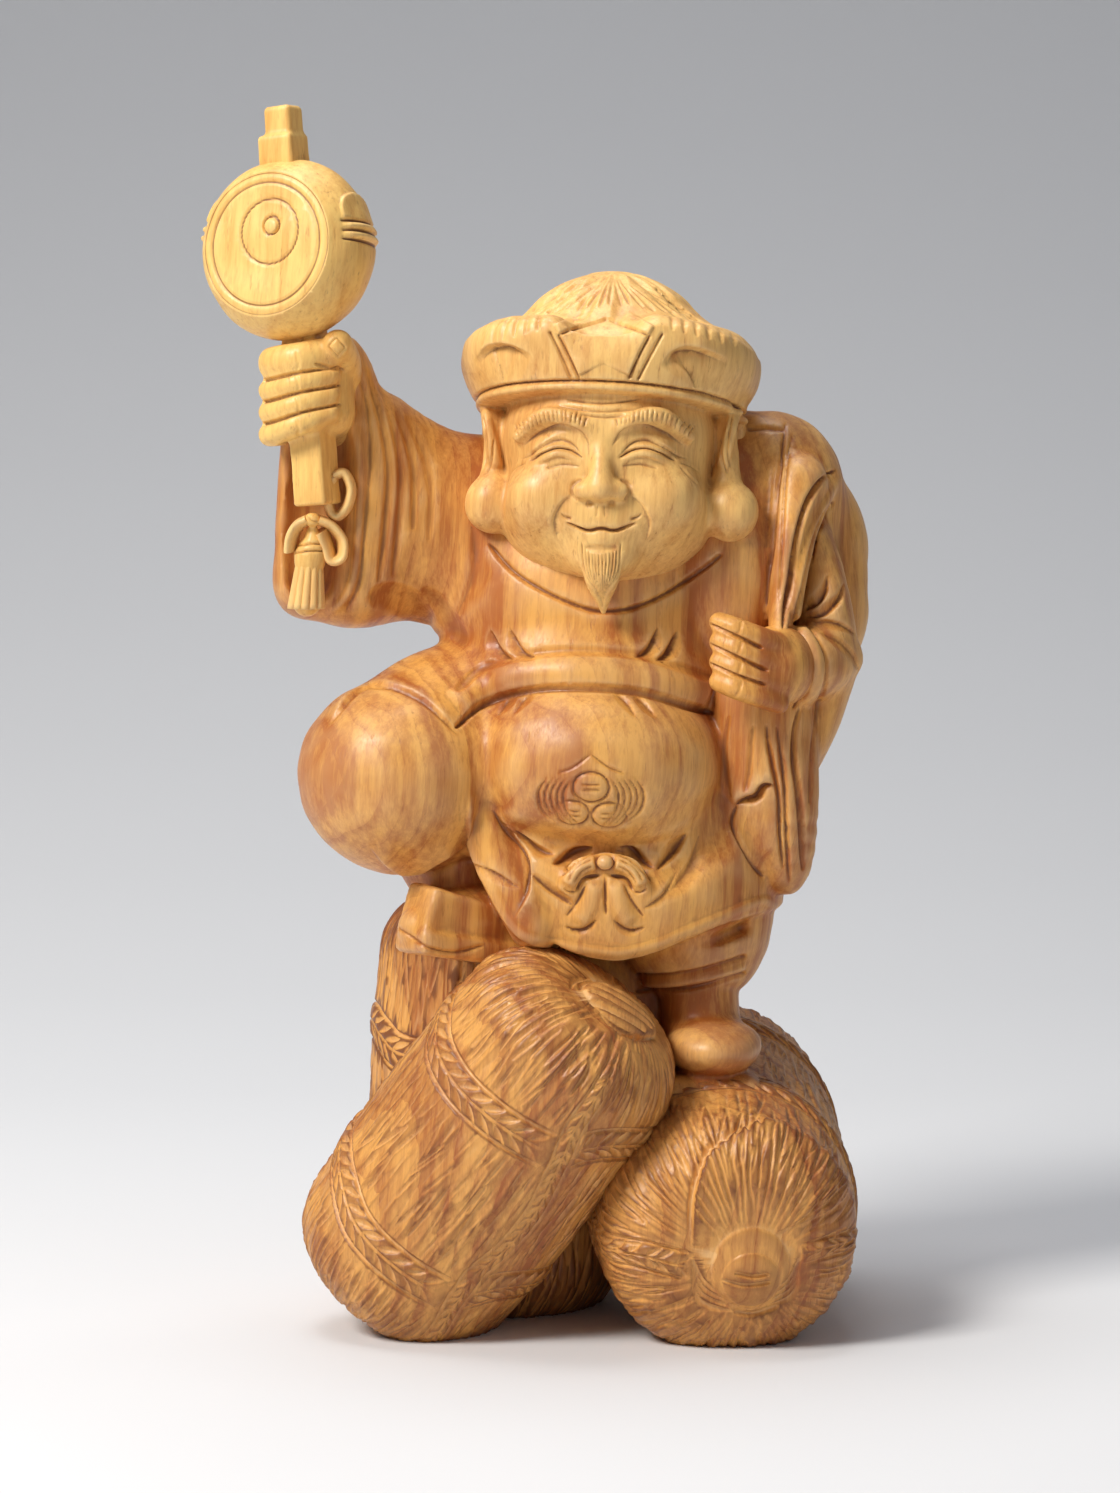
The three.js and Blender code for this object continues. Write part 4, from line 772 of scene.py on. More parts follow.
def drawCrest(sheet, x, z):
    # three jewels among flames
    for dx, dz, across, high in ((0, 2, 3.1, 2.6), (-3.1, -2.6, 2.8, 2.2), (3.1, -3, 3, 2.3)):
        turn = np.linspace(0, 2 * np.pi, 13)
        rim = np.stack([x + dx + across * np.cos(turn), z + dz + high * np.sin(turn)], 1)
        sheet.groove(rim, 0.7, 0.5, ends=0)
        sheet.ridge([[x + dx - 0.5, z + dz], [x + dx + 0.5, z + dz]], 2 * high - 0.3, 0.35, ends=0)
        for line in (0.5, -0.35):
            sheet.groove([[x + dx - across / 2, z + dz + line], [x + dx + across / 2, z + dz + line]], 0.5,
                         0.4)
    for side in (-1, 1):
        for n in range(5):
            off = 9 - 1.05 * n
            flame = [[x + side * (off - 1.7), z + 3.8], [x + side * off, z + 1],
                     [x + side * (off - 0.5), z - 2.2],
                     [x + side * (off - 3.2), z - 4.5 - 0.15 * n]]
            sheet.leaf(flame, 1.1, 0.65, side=-side)
        sheet.groove([[x + side * 5.6, z + 4.4], [x + side * 3, z + 5.4], [x, z + 7.6]], 0.7, 0.35)


def drawBow(sheet, x, z):
    turn = np.linspace(0, 2 * np.pi, 11)
    sheet.groove(np.stack([x + 1.6 * np.cos(turn), z + 1.5 * np.sin(turn)], 1), 0.7, 0.6, ends=0)
    sheet.ridge([[x - 0.3, z], [x + 0.3, z]], 2.8, 0.8, ends=0)
    for side in (-1, 1):
        # a loop, with two stripes along it, and the arch under it
        sheet.ridge([[x + side * 1.4, z], [x + side * 4.6, z - 1.2], [x + side * 6.4, z - 4]], 2.6, 0.8,
                    ends=0.1)
        for off in (0.45, -0.5):
            sheet.groove([[x + side * 2, z + off], [x + side * (4.4 + off), z - 1.2 + off / 2],
                          [x + side * (5.9 + off), z - 3.6]], 0.6, 0.5)
        sheet.leaf([[x + side * 1.8, z + 1.7], [x + side * 5, z + 0.9], [x + side * 7.4, z - 2.6]], 1.6,
                   1.1, side=-side)
        sheet.groove([[x + side * 0.9, z - 2.2], [x + side * 3.4, z - 2.9], [x + side * 4.8, z - 5]], 0.9,
                     0.9)
        sheet.groove([[x + side * 4.8, z - 5], [x + side * 6.1, z - 5.2], [x + side * 7.2, z - 4.4]], 0.7,
                     0.5)
        # a tail, cut off slantwise
        sheet.ridge([[x + side * 1.6, z - 3.4], [x + side * 3, z - 8], [x + side * 4.6, z - 10.6]], 3.4,
                    0.55, ends=0.15)
        sheet.groove([[x + side * 3.2, z - 3.8], [x + side * 4.6, z - 6.6], [x + side * 6.6, z - 9.4]], 0.8,
                     0.5)
        sheet.leaf([[x + side * 1.2, z - 9.6], [x + side * 4, z - 11.6], [x + side * 7, z - 11]], 1.2, 0.9,
                   side=-side)
    sheet.groove([[x, z - 2.4], [x + 0.1, z - 9]], 0.8, 0.7)


def drawShoes(sheet):
    # boot: edge of the sole
    sole = [[-33, 69.6], [-29, 67.6], [-25.6, 66], [-21.8, 65.2], [-17, 66.2]]
    sheet.groove(np.array(sole) + [0, 1.2], 0.9, 0.5)


def drawSleeves(sheet):
    # mouth of the raised sleeve: a smooth band between two edges
    inner = np.array([[-40.8, 156], [-39.7, 152.2], [-39.3, 144.9], [-39.8, 135.1], [-40.8, 129.2],
                      [-42.8, 125.4],
                      [-46, 123.4]])
    sheet.ridge(inner + [0.9, 0], 1.8, 0.4, ends=0.1)
    outer = [[-38.4, 169], [-37, 164], [-35.9, 158.5], [-35.4, 149.7], [-36.4, 137], [-37.3, 129],
             [-39.7, 124]]
    sheet.groove(np.array(outer) + [-1.3, 0], 1.1, 0.35, ends=0.15)
    # flutes that run down from the wrist
    for points, width, depth in (
        ([[-37.3, 165.6], [-35.2, 158], [-33.6, 149], [-34.2, 138], [-35.4, 129]], 1.8, 0.65),
        ([[-36.2, 164.6], [-33.2, 157.6], [-31.5, 148], [-32, 138], [-33, 130]], 1.7, 0.5),
        ([[-34.4, 161.6], [-31, 155], [-29.2, 147], [-29.5, 138]], 1.8, 0.5),
        ([[-30.8, 157.4], [-27.6, 151], [-26.4, 144], [-26.9, 136]], 2, 0.35),
    ):
        sheet.groove(points, width, depth)
    # hollow under the arm, and the folds from the armpit
    sheet.groove([[-37, 126], [-33.6, 126.4], [-30, 124.8], [-27, 121]], 6, 0.8, ends=0.45, sharp=2)
    sheet.leaf([[-19.4, 139.5], [-19.2, 131], [-22.6, 122]], 4, 0.5, side=1)
    sheet.groove([[-28, 127.6], [-24.4, 124], [-20.4, 118]], 4, 0.4, ends=0.45, sharp=2)
    # mouth of the other sleeve, round the wrist
    mouth = np.array([[35.1, 121.9], [36.7, 119.9], [38.1, 117], [38.4, 114.4], [38.3, 112.1],
                      [37.6, 109.9], [36, 107.6]])
    sheet.ridge(mouth + [1.3, 0], 2.6, 0.6, ends=0.1)
    sheet.groove(mouth + [-0.4, 0], 1.2, 1.0)
    sheet.groove([[35.9, 122.6], [38, 121.6], [39.5, 119.9], [40.8, 117.4], [41.4, 114.7], [41.2, 111.6],
                  [40.4, 108]], 1.0, 0.55)
    # notch of the hanging part, its inner face and the edge of the cloth
    notch = [[25.8, 91], [26.6, 92], [27.7, 92.5], [29, 92.9], [29.9, 94.3], [31, 94.9], [32.4, 94.6]]
    sheet.leaf(notch, 1.9, 1.7, side=-1)
    sheet.layer(notch, 0.9, 6, side=1)
    sheet.groove([[25.9, 91], [25.2, 88.6], [25.6, 86.6], [27, 84], [28.8, 80.9], [30.8, 78.4]], 0.9, 0.7,
                 ends=0.1)
    for points, width, depth in (
        ([[24.7, 106.3], [23.9, 101.4], [24.3, 96.1], [25.2, 92.5]], 1.3, 0.4),
        ([[28.8, 105], [28.4, 101.4], [28.1, 97], [27.5, 93.4]], 1.2, 0.4),
        ([[31, 105], [31.4, 101.4], [32.3, 97], [33.2, 92.5], [33.5, 85.8], [34.1, 80]], 1.2, 0.9),
        ([[32.8, 104.6], [33.5, 100.1], [34.2, 94.3], [34.5, 88], [34.9, 81.3], [35.2, 77.4]], 1.1, 0.75),
        ([[36.8, 107.6], [36, 104], [35.8, 99], [36.5, 94.1], [37.2, 87.8], [37.6, 79.6]], 1.5, 1.1),
        ([[41.1, 114.1], [40.3, 108.7], [39.7, 104.2], [39, 99.2], [38.6, 91]], 1.1, 0.5),
    ):
        sheet.groove(points, width, depth)
    # folds at the elbow
    sheet.leaf([[42, 130.4], [41.5, 127.6], [40.3, 125.8], [38.3, 124.4], [36.7, 123.6]], 2, 1.3, side=-1)
    sheet.leaf([[44.8, 128.9], [44.2, 126.2], [42.5, 124.5], [40.5, 123.3], [37.8, 122.8]], 2, 1.3, side=-1)
    sheet.leaf([[38.4, 122.6], [42.6, 122.3], [44.8, 121.6], [47.2, 119.8]], 1.7, 0.9, side=-1)
    sheet.leaf([[40.4, 120.6], [44, 119], [46.4, 116.6], [47.6, 113.4]], 2, 0.8, side=-1)


def drawSack(sheet):
    # lines of its neck, from the shoulder down to the hand
    for points, width, depth in (
        ([[34.9, 156.4], [33.9, 150.3], [33, 144.9], [32, 135.1], [31.3, 130.1], [31, 125]], 1.0, 0.7),
        ([[36, 154.6], [34.9, 150], [34.3, 145.9], [33.8, 138.7], [33.5, 132.4], [33.1, 125.7]], 0.8, 0.35),
    ):
        sheet.groove(points, width, depth)
    # the mouth: a deep line on each side of the rim
    sheet.groove([[43.6, 148.2], [42, 147.4], [40.2, 145.8], [38.1, 142.6], [36.6, 138], [35.8, 134],
                  [35.2, 130],
                  [34.4, 126], [33.7, 121.5]], 1.4, 1.3, ends=0.2)
    sheet.groove([[43.4, 142.8], [41.8, 141], [40.4, 138.4], [39.2, 135.2], [38.4, 131.6], [37.4, 127.6],
                  [36.3, 124.4],
                  [35.6, 122.2]], 1.3, 1.0, ends=0.2)
    # panel on the shoulder
    sheet.groove([[28, 155.3], [31.4, 155.5], [34.8, 155.1]], 1.1, 0.6, ends=0.15)


def drawBack(sheet):
    # seen from behind: folds of the skirt, the belt up to the sack, and folds from the raised arm
    for x, lean in ((-13, -2.4), (-5, -1), (4, 0.8), (13, 2.4), (21, 3.6)):
        sheet.leaf([[x, 95], [x + lean, 86], [x + 1.3 * lean, 76]], 3, 1.1, side=-1)
    for drop in (0, 5.6):
        sheet.groove([[-24, 110 - drop], [-12, 107.4 - drop], [-4, 106.2 - drop]], 1.3, 0.9, ends=0.12)
    for drop in (0, 4, 8):
        sheet.leaf([[-9 - drop, 139 - drop / 2], [-15 - drop, 131 - drop], [-25 - drop, 125 - drop / 3]],
                   2.6, 0.9, side=1)
    # folds of the sack, which fan out from its neck
    for x, z in ((2, 134), (6, 122), (13, 112), (23, 105), (34, 106), (42, 113)):
        sheet.leaf([[29 + 0.12 * x, 149], [0.45 * x + 16, 0.5 * z + 74], [x, z]], 3.2, 1.0,
                   side=1 if x < 25 else -1)


def toolMarks(points, height, seed):
    # the faint unevenness that a blade leaves
    draw = np.random.default_rng(seed)
    lift = np.zeros(len(points))
    for _ in range(9):
        way = draw.normal(size=3)
        way *= 2 * np.pi / (draw.uniform(5, 11) * np.linalg.norm(way))
        lift += np.sin(points @ way + draw.uniform(0, 6.3))
    return height * lift / 2


def makeRobe(material):
    size = robeSizes
    field = Field([-64, -46, 12], [56, 48, 172], size["grid"])
    for forms in (robeForms, legForms, raisedSleeveForms, holdingSleeveForms, sackForms):
        forms(field)
    piece = pieceOf("robeAndSack", meshOf("robeAndSack", *surfaceOf(field)))
    report("robe sampled")
    refined(piece)
    front = Sheet([-64, 12], [56, 172], size["drawing"])
    drawRobe(front)
    back = Sheet([-64, 12], [56, 172], size["drawing"])
    drawBack(back)
    report("robe drawn")
    points, across = places(piece.data), normals(piece.data)
    points = points + across * toolMarks(points, size["toolMarks"], 5)[:, None]
    points = layFrom(points, across, front)
    points = layFrom(points, across, back, facing=(0, 1, 0))
    movePoints(piece.data, points)
    thinned(piece, size["triangles"])
    finished(piece, material)
    return piece


# The head with its hat, worked out round the middle of the skull and then turned to where it looks

headSizes = {
    "middle": (4.3, -6, 147),
    "turn": 5,  # degrees to the carving's left
    "grid": 0.42,
    "drawing": 0.12,
    "triangles": 165000,
    "bandEdge": (10.7, -0.04, -0.2),  # height of the hat's lower edge, and its slopes along x and y
    "bandHeight": 9.5,
    "pipingWidth": 1.15,
    "pleats": 26,
    "hairs": 17,
    "toolMarks": 0.04,
}


def headForms(field):
    field.join(ball([0, 0, 1], [17.6, 18.2, 20.5]), 1)
    field.join(ball([0, -1, 7], [18.3, 17.8, 15.5]), 2)  # forehead
    field.join(ball([0, 4, 6], [19.6, 15, 14]), 2)  # temples
    field.join(ball([0, -3.4, -6.5], [18.6, 15, 11.8]), 3)  # jaw
    field.join(ball([0, -14.4, -13.2], [5.6, 4, 4]), 3)  # chin
    field.join(ball([0, -15.4, -6.6], [6.2, 3, 3.6]), 2.5)  # upper lip
    for side in (-1, 1):
        field.join(ball([side * 9.6, -12.4, -3.4], [6.9, 6.2, 6.4]), 3)  # cheek
        field.cut(ball([side * 7.3, -20.6, 6.4], [5.6, 2.8, 2.8]), 2.2)  # eye socket
        field.join(ball([side * 7.3, -14.6, 4.8], [4.6, 3.2, 2.7]), 0.8)
        field.join(ball([side * 2.9, -18.5, -2.2], [2.1, 2.2, 1.8]), 0.7)  # side of the nose
        field.cut(ball([side * 1.7, -19.4, -4.1], [0.9, 1.1, 0.8]), 0.4)
        brow = [[1.9, -17.6, 7.4, 0.8, 0.8], [5.6, -18.3, 10, 1.3, 1.3], [10.4, -16.6, 10.2, 1.4, 1.4],
                [14.6, -12.9, 6.9, 0.9, 0.9]]
        field.join(limb([[side * p[0], *p[1:]] for p in brow]), 1.5)
        earForms(field, side)
    field.join(limb([[0, -16.6, 7, 1.5, 1.3], [0, -18.8, 1.6, 1.8, 1.9], [0, -19.6, -1.6, 2.7, 2.4]]), 1.2)
    lips = ([[-5, -16.6, -7.1], [-2, -18, -7.7], [0, -18.2, -7.4], [2, -18, -7.7], [5, -16.6, -7.1]],
            [[-3.6, -16.6, -9.4], [0, -17.8, -10.2], [3.6, -16.6, -9.4]])
    for line, thick in zip(lips, (0.85, 1.1)):
        field.join(limb([[*p, thick, thick] for p in line]), 0.7)
    field.join(limb([[0, -16.8, -12.8, 3.7, 1.7], [0, -16.4, -17, 3, 2], [0, -13.2, -22.6, 0.5, 0.7]]),
               0.5)  # beard


def earForms(field, side):
    def at(points):
        return [[side * p[0] + 0.4, *p[1:]] for p in points]

    field.join(ball(at([[20, -0.6, 6]])[0], [2.2, 4.6, 7.2]), 1.2)
    rim = [[19.6, -5.4, 2.6], [20.8, -5.2, 8.4], [21.6, -2, 11.8], [22, 2.8, 11.4], [21.6, 4.8, 5],
           [20.8, 2, -1]]
    field.join(limb([[*p, 1.1, 1.1] for p in at(rim)]), 0.5)
    field.cut(ball(at([[22.6, -0.2, 6.2]])[0], [1.5, 3, 4.6]), 0.5)
    # the long lobe
    field.join(limb([[*p, thick, thick] for p, thick in zip(at([[20.2, -2.6, 4], [20, -4, -0.6]]),
                                                            (1.6, 2.6))], steps=4), 0.8)
    field.join(ball([side * 20.3 + 0.8, -5.4, -5.2 - side * 0.65], [4.9, 4.3, 5.2]), 1.2)


def hatForms(field):
    flat, alongX, alongY = headSizes["bandEdge"]

    def above(x, y, z):
        return flat + alongX * x + alongY * y - z

    field.join(ball([-0.1, 6.5, 19.8], [17.6, 18, 15.8]), 0.5)
    field.join(within(ball([0.1, 4, 18.6], [24.4, 22.6, 11]), lambda x, y, z: 14.6 - z), 2)
    sides = ball([0.2, 3, 18.4], [24.9, 22.8, 17])
    high = headSizes["bandHeight"]
    field.join(within(sides, lambda x, y, z: np.maximum(above(x, y, z), -above(x, y, z) - high)), 0.6)
    for side, drop in ((-1, 0), (1, 1.2)):
        roll = [[9, -15.2, 24.6, 2.6], [16, -12, 23.4 - drop, 3.6], [20.6, -3, 21.2 - drop, 3.6],
                [20, 9, 18.6 - drop, 3.4],
                [14, 20, 17, 2.6]]
        field.join(limb([[side * p[0], *p[1:], p[3]] for p in roll]), 5)


def drawHead(sheet):
    # five-sided panel, with a second line down each side
    sheet.layer([[-8, 25.6], [-7.1, 23.8], [-3.7, 17]], 0.5, 7, side=1, wall=0.3, ends=0.02)
    sheet.layer([[9, 25.2], [8.1, 23.6], [4.8, 17]], 0.5, 7, side=-1, wall=0.3, ends=0.02)
    for line in (
        [[-7.3, 23.7], [-3.4, 25.4], [0.6, 26.9]], [[0.6, 26.9], [4.2, 25.3], [8.3, 23.5]],
        [[-7.1, 23.9], [-5.3, 20.4], [-3.6, 16.4]], [[8.1, 23.7], [6.4, 20.5], [4.7, 16.4]],
        [[-8.7, 24.6], [-6.8, 20.6], [-5, 16.4]], [[10.4, 24.2], [8.3, 20.3], [6.2, 16.2]],
    ):
        sheet.groove(line, 0.8, 0.55, ends=0.06)
    # hollows of the band, under the puffed part
    sheet.layer([[-22.6, 19.6], [-20.4, 22], [-18, 22.7], [-15, 22.2], [-11.6, 20.6]], -2.3, 8, side=-1,
                wall=1.0, ends=0.3)
    sheet.layer([[9.8, 18.6], [11.4, 20.9], [13.8, 22], [16.6, 21.8], [21.4, 20]], -2.3, 8, side=-1,
                wall=1.0, ends=0.3)
    # pleats of the crown, which fan out over the puffed part
    draw = np.random.default_rng(5)
    for n in range(-10, 11):
        far, low = 1.9 * n + draw.uniform(-0.3, 0.3), 29 - 0.035 * n * n + draw.uniform(-0.4, 0.4)
        sheet.groove([[0.6 + 0.3 * n, 34.4], [0.6 + 0.62 * far, 0.5 * low + 17], [0.6 + far, low]],
                     draw.uniform(0.7, 1.2),
                     draw.uniform(0.25, 0.45))
    for side in (-1, 1):
        for n in range(6):
            x = 9.6 + 2 * n
            sheet.groove([[side * x + 0.6, 29.8 - 0.5 * n], [side * (x + 1.4) + 0.6, 27.4 - 0.6 * n],
                          [side * (x + 1.8) + 0.6, 24.6 - 0.5 * n]], 1.1, 0.3)
    drawFace(sheet)


def drawFace(sheet):
    draw = np.random.default_rng(11)
    for side in (-1, 1):
        def at(points):
            return [[side * x, z] for x, z in points]

        # upper lid, slit and lower lid of the smiling eye
        lid = at([[2.9, 3.4], [5, 5.8], [7.6, 6.5], [10.2, 5.4], [12.6, 3.8], [14.4, 3.2]])
        sheet.leaf(lid, 1.5, 0.7, side=-side)
        slit = at([[3.1, 3.3], [5.2, 4.6], [7.6, 4.9], [10, 4], [12.4, 2.9]])
        sheet.groove(slit, 0.7, 0.75, ends=0.2)
        sheet.ridge(np.array(slit) + [0, -1], 1.2, 0.3)
        sheet.groove(at([[3.6, 1.9], [6.4, 2.2], [9.4, 1.6]]), 0.8, 0.3)
        for low in (0.4, 1.6):
            sheet.groove(at([[13.1, 2.8 - low * 0.6], [14.8, 2.4 - low * 1.4], [16, 1.4 - low * 1.6]]), 0.5,
                         0.25)
        # crease over the lid, under the brow
        sheet.leaf(at([[1.8, 5.2], [3.4, 7.6], [6.8, 8.7], [10.6, 7.6], [13.6, 5.4]]), 1.4, 0.7, side=-side)
        # hairs of the brow
        for n in range(headSizes["hairs"]):
            t = n / (headSizes["hairs"] - 1)
            x, z = 2.8 + 11.6 * t, 7.9 + 2 * math.sin(math.pi * min(1, 0.1 + t * 0.86)) - 1.4 * t
            lean = -0.4 + 1.5 * t + draw.uniform(-0.15, 0.15)
            long = 2.1 + draw.uniform(-0.2, 0.3)
            sheet.groove(at([[x, z], [x + lean * 0.6, z + long * 0.6], [x + lean, z + long]]), 0.42, 0.32,
                         ends=0.3)
        # wings of the nose, smile fold, corner of the mouth
        sheet.groove(at([[3.2, -0.2], [4.7, -1], [5, -2.6], [4, -3.9]]), 0.9, 0.55)
        sheet.leaf(at([[4.6, -2.6], [6.6, -4.4], [8, -7.4], [7.6, -10.4]]), 2.6, 0.55, side=-side)
        sheet.groove(at([[5, -7], [6.3, -6.6], [7, -5.8]]), 1.1, 0.6)
        sheet.groove(at([[0.55, -4.6], [0.75, -6.6]]), 0.5, 0.2)
        # hairs of the beard
        for n in range(6):
            x = 0.35 + 0.6 * n
            sheet.groove(at([[x, -12.2 + 0.25 * n * n / 4], [x * 0.85, -16], [x * 0.22, -22 + 0.5 * n]]),
                         0.4, 0.36, ends=0.25)
        # ear: the hollow of the rim
        sheet.groove(at([[21.3, 10.4], [20.7, 6], [21.2, 1.6]]), 0.7, 0.4)
        sheet.groove(at([[19.3, 6.6], [19.6, 3.6], [20.6, 0.6]]), 0.7, 0.4)
    sheet.groove([[-5.9, -7.6], [-2.6, -8.9], [0, -8.6], [2.6, -8.9], [5.9, -7.6]], 0.8, 0.95, ends=0.25)
    sheet.groove([[-2.8, -11.7], [0, -12], [2.8, -11.7]], 1.6, 0.4, sharp=2)
    for points in ([[-6, 13.1], [0.2, 12.5], [6.4, 13.1]], [[-7.4, 12.1], [0.2, 11.1], [8, 11.9]],
                   [[-3.4, 10.6], [0.8, 10.1], [5.2, 10.7]]):
        sheet.groove(points, 0.7, 0.4)


def drawCrown(sheet):
    # soft pleats of the hat, seen from above; they run out from behind the panel
    draw = np.random.default_rng(3)
    count = headSizes["pleats"]
    for n in range(count):
        turn = 2 * math.pi * (n + draw.uniform(-0.25, 0.25)) / count
        bend = draw.uniform(-0.3, 0.3)
        start, end = draw.uniform(1.5, 5), draw.uniform(17.5, 22.5)
        points = []
        for t in (0, 0.5, 1):
            reach, way = start + (end - start) * t, turn + bend * t
            points.append([reach * math.cos(way), 6.5 + reach * math.sin(way)])
        sheet.groove(points, draw.uniform(1.6, 3.6), draw.uniform(0.25, 0.6), sharp=draw.choice([1.4, 2]))


def makeHead(material):
    size = headSizes
    field = Field([-30, -30, -28], [30, 30, 40], size["grid"])
    headForms(field)
    hatForms(field)
    piece = pieceOf("headAndHat", meshOf("headAndHat", *surfaceOf(field)))
    refined(piece)
    points, across = places(piece.data), normals(piece.data)
    # piping all round the hat's lower edge, between two grooves
    flat, alongX, alongY = size["bandEdge"]
    height = points[:, 2] - (flat + alongX * points[:, 0] + alongY * points[:, 1])
    outward = np.clip(np.hypot(across[:, 0], across[:, 1]) / 0.5 - 1, 0, 1)
    wide = size["pipingWidth"]
    cord = 0.35 * np.clip(1 - ((height - wide / 2) * 2 / wide) ** 2, 0, 1)
    cord -= 0.9 * np.clip(1 - abs(height - wide - 0.3) / 0.45, 0, 1)
    hatPart = np.hypot(points[:, 0] - 0.2, points[:, 1] - 3) > 18.5
    points += across * (cord * outward * hatPart + toolMarks(points, size["toolMarks"], 8))[:, None]
    front = Sheet([-28, -26], [28, 38], size["drawing"])
    drawHead(front)
    crown = Sheet([-28, -24], [28, 32], 0.2)
    drawCrown(crown)
    points = layFrom(points, across, crown, axes=(0, 1), facing=(0, 0, 1))
    points = layFrom(points, across, front)
    turn = np.array(Matrix.Rotation(math.radians(-size["turn"]), 3, "Z"))
    points = points @ turn.T + size["middle"]
    movePoints(piece.data, points)
    thinned(piece, size["triangles"])
    finished(piece, material)
    return piece


# Hands, with the handle and the peg of the mallet

handSizes = {
    "grid": 0.32,
    "drawing": 0.12,
    "toolMarks": 0.03,
    "handleTurn": (-1.2, -4.25, -27),
    "raised": {"low": [-60, -26, 121], "high": [-30, 6, 211], "triangles": 95000},
    "holding": {"low": [15, -32, 101], "high": [48, -3, 130], "triangles": 40000},
}


def raisedHandForms(field):
    turn = handSizes["handleTurn"]
    field.join(block([-47.1, -13.3, 163.4], [3.05, 3.05, 21.2], 0.5, turn), 0.3)  # handle
    field.join(block([-51, -12.5, 200.4], [3.3, 3.3, 4.6], 0.7, turn), 0.3)
    field.join(block([-51, -12.4, 205.4], [2.6, 2.6, 4.5], 0.9, turn), 0.8)
    field.join(block([-46.2, -11.4, 161.4], [6.4, 5.6, 7.6], 4, [0, -6, 12]), 0.5)  # palm
    field.join(limb([[-45, -8, 161, 4.6, 5], [-42, -4, 156, 4.6, 5]], steps=4), 3)  # wrist
    fingers = ((166.3, 168, 2.8), (161.9, 164.3, 1.9), (158.2, 161, 1.95), (154.4, 157.9, 2))
    for left, right, wide in fingers:
        field.join(limb([[-52.4, -8.6, left, wide, 2.4], [-53, -14.4, left, wide, 2.4],
                         [-48.4, -18.1, (left + right) / 2 - 0.1, wide, 2.3], [-43.4, -17, right,
                                                                               wide * 0.95, 2.3]]), 1.3)
    field.join(limb([[-41, -6.6, 161.4, 2.8, 3.4], [-40.8, -12.6, 166.8, 2.6, 2.8],
                     [-41.9, -18.2, 169.4, 2.7, 2.5]]), 0.6)
    # the head of the tassel, and its knot
    field.join(limb([[-46.4, -13.4, 137.8, 1.1, 1.1], [-46.4, -13.2, 135.6, 1.95, 1.9],
                     [-46.9, -12.9, 133.5, 2.8, 2.6],
                     [-47.1, -12.8, 131, 2.3, 2.2], [-47.5, -12.6, 125.4, 2.4, 2.2]]), 0.3)
    field.join(ball([-46.4, -14.6, 139.8], [1.5, 1.4, 1.3]), 0.4)


def drawRaisedHand(sheet):
    for left, right, wide in ((163.5, 165.7, 0.8), (159.9, 162.6, 0.8), (156.2, 159.4, 0.8)):
        sheet.groove([[-56, left - 0.3], [-53, left + 0.2], [-48, (left + right) / 2 + 0.1],
                      [-41.4, right]], wide, 0.7, ends=0.06)
    # first joints of the fingers
    for n in range(4):
        z = 166.2 - 3.7 * n
        sheet.groove([[-48.8, z + 2], [-48.3, z], [-48.6, z - 1.4]], 0.8, 0.16, sharp=2)
    # nail of the thumb
    nail = ([-43.3, 169.1], [-41.8, 170.6], [-40.3, 168.9], [-41.7, 167.3])
    for n in range(4):
        sheet.groove([nail[n], nail[(n + 1) % 4]], 0.5, 0.3, ends=0.05)
    sheet.groove([[-45.6, 166.2], [-43.4, 165.6], [-40.8, 165.2]], 1.0, 0.6)
    # binding of the tassel
    for z in (135.6, 134.4):
        sheet.groove([[-50, z - 0.3], [-46.6, z + 0.1], [-43.4, z]], 0.55, 0.5, ends=0)
    # knot
    sheet.groove([[-47.2, 140.6], [-46.4, 139.6], [-45.4, 139.4]], 0.5, 0.35)


def holdingHandForms(field):
    field.join(ball([32.6, -17, 114.6], [6, 6.4, 7.2], [0, 14, 0]), 1)
    field.join(limb([[37, -12, 114.4, 5.4, 5.6], [32, -17.5, 115, 6, 5.2]], steps=4), 2)
    wide = 1.85
    for finger in range(4):
        drop = 3.35 * finger
        field.join(limb([[32.6, -21.2, 118.9 - drop, wide, 2.2], [29.4, -23.4, 120.2 - drop, wide, 2.1],
                         [25.6, -24, 121.6 - drop, wide, 2], [22.8, -22.2, 122.6 - drop, wide * 0.94,
                                                              2]]), 1.2)


def drawHoldingHand(sheet):
    for points in (
        [[20.6, 122.4], [25.6, 120.3], [30, 118.3]],
        [[20.4, 119.1], [25.7, 116.8], [30.9, 114.5]],
        [[20.2, 115.9], [25.7, 113.7], [30.5, 112.1]],
    ):
        sheet.groove(points, 0.85, 0.8, ends=0.1)
    # joints of the fingers
    for n in range(4):
        drop = 3.35 * n
        sheet.groove([[26.4, 123 - drop], [26, 121.4 - drop], [25.3, 120.2 - drop]], 0.8, 0.16, sharp=2)


def makeHand(name, key, forms, drawing, material):
    size = handSizes[key]
    field = Field(size["low"], size["high"], handSizes["grid"])
    forms(field)
    piece = pieceOf(name, meshOf(name, *surfaceOf(field)))
    refined(piece)
    low, high = size["low"], size["high"]
    sheet = Sheet([low[0], low[2]], [high[0], high[2]], handSizes["drawing"])
    drawing(sheet)
    points, across = places(piece.data), normals(piece.data)
    points = points + across * toolMarks(points, handSizes["toolMarks"], 9)[:, None]
    points = layFrom(points, across, sheet)
    movePoints(piece.data, points)
    thinned(piece, size["triangles"])
    finished(piece, material)
    return piece


# Rice bales. Each is turned round its own axis: a sheet round it carries the straw and the ropes, and a flat
# sheet on each end carries the lid and the knot. On the round sheet u runs round the bale and w along it.

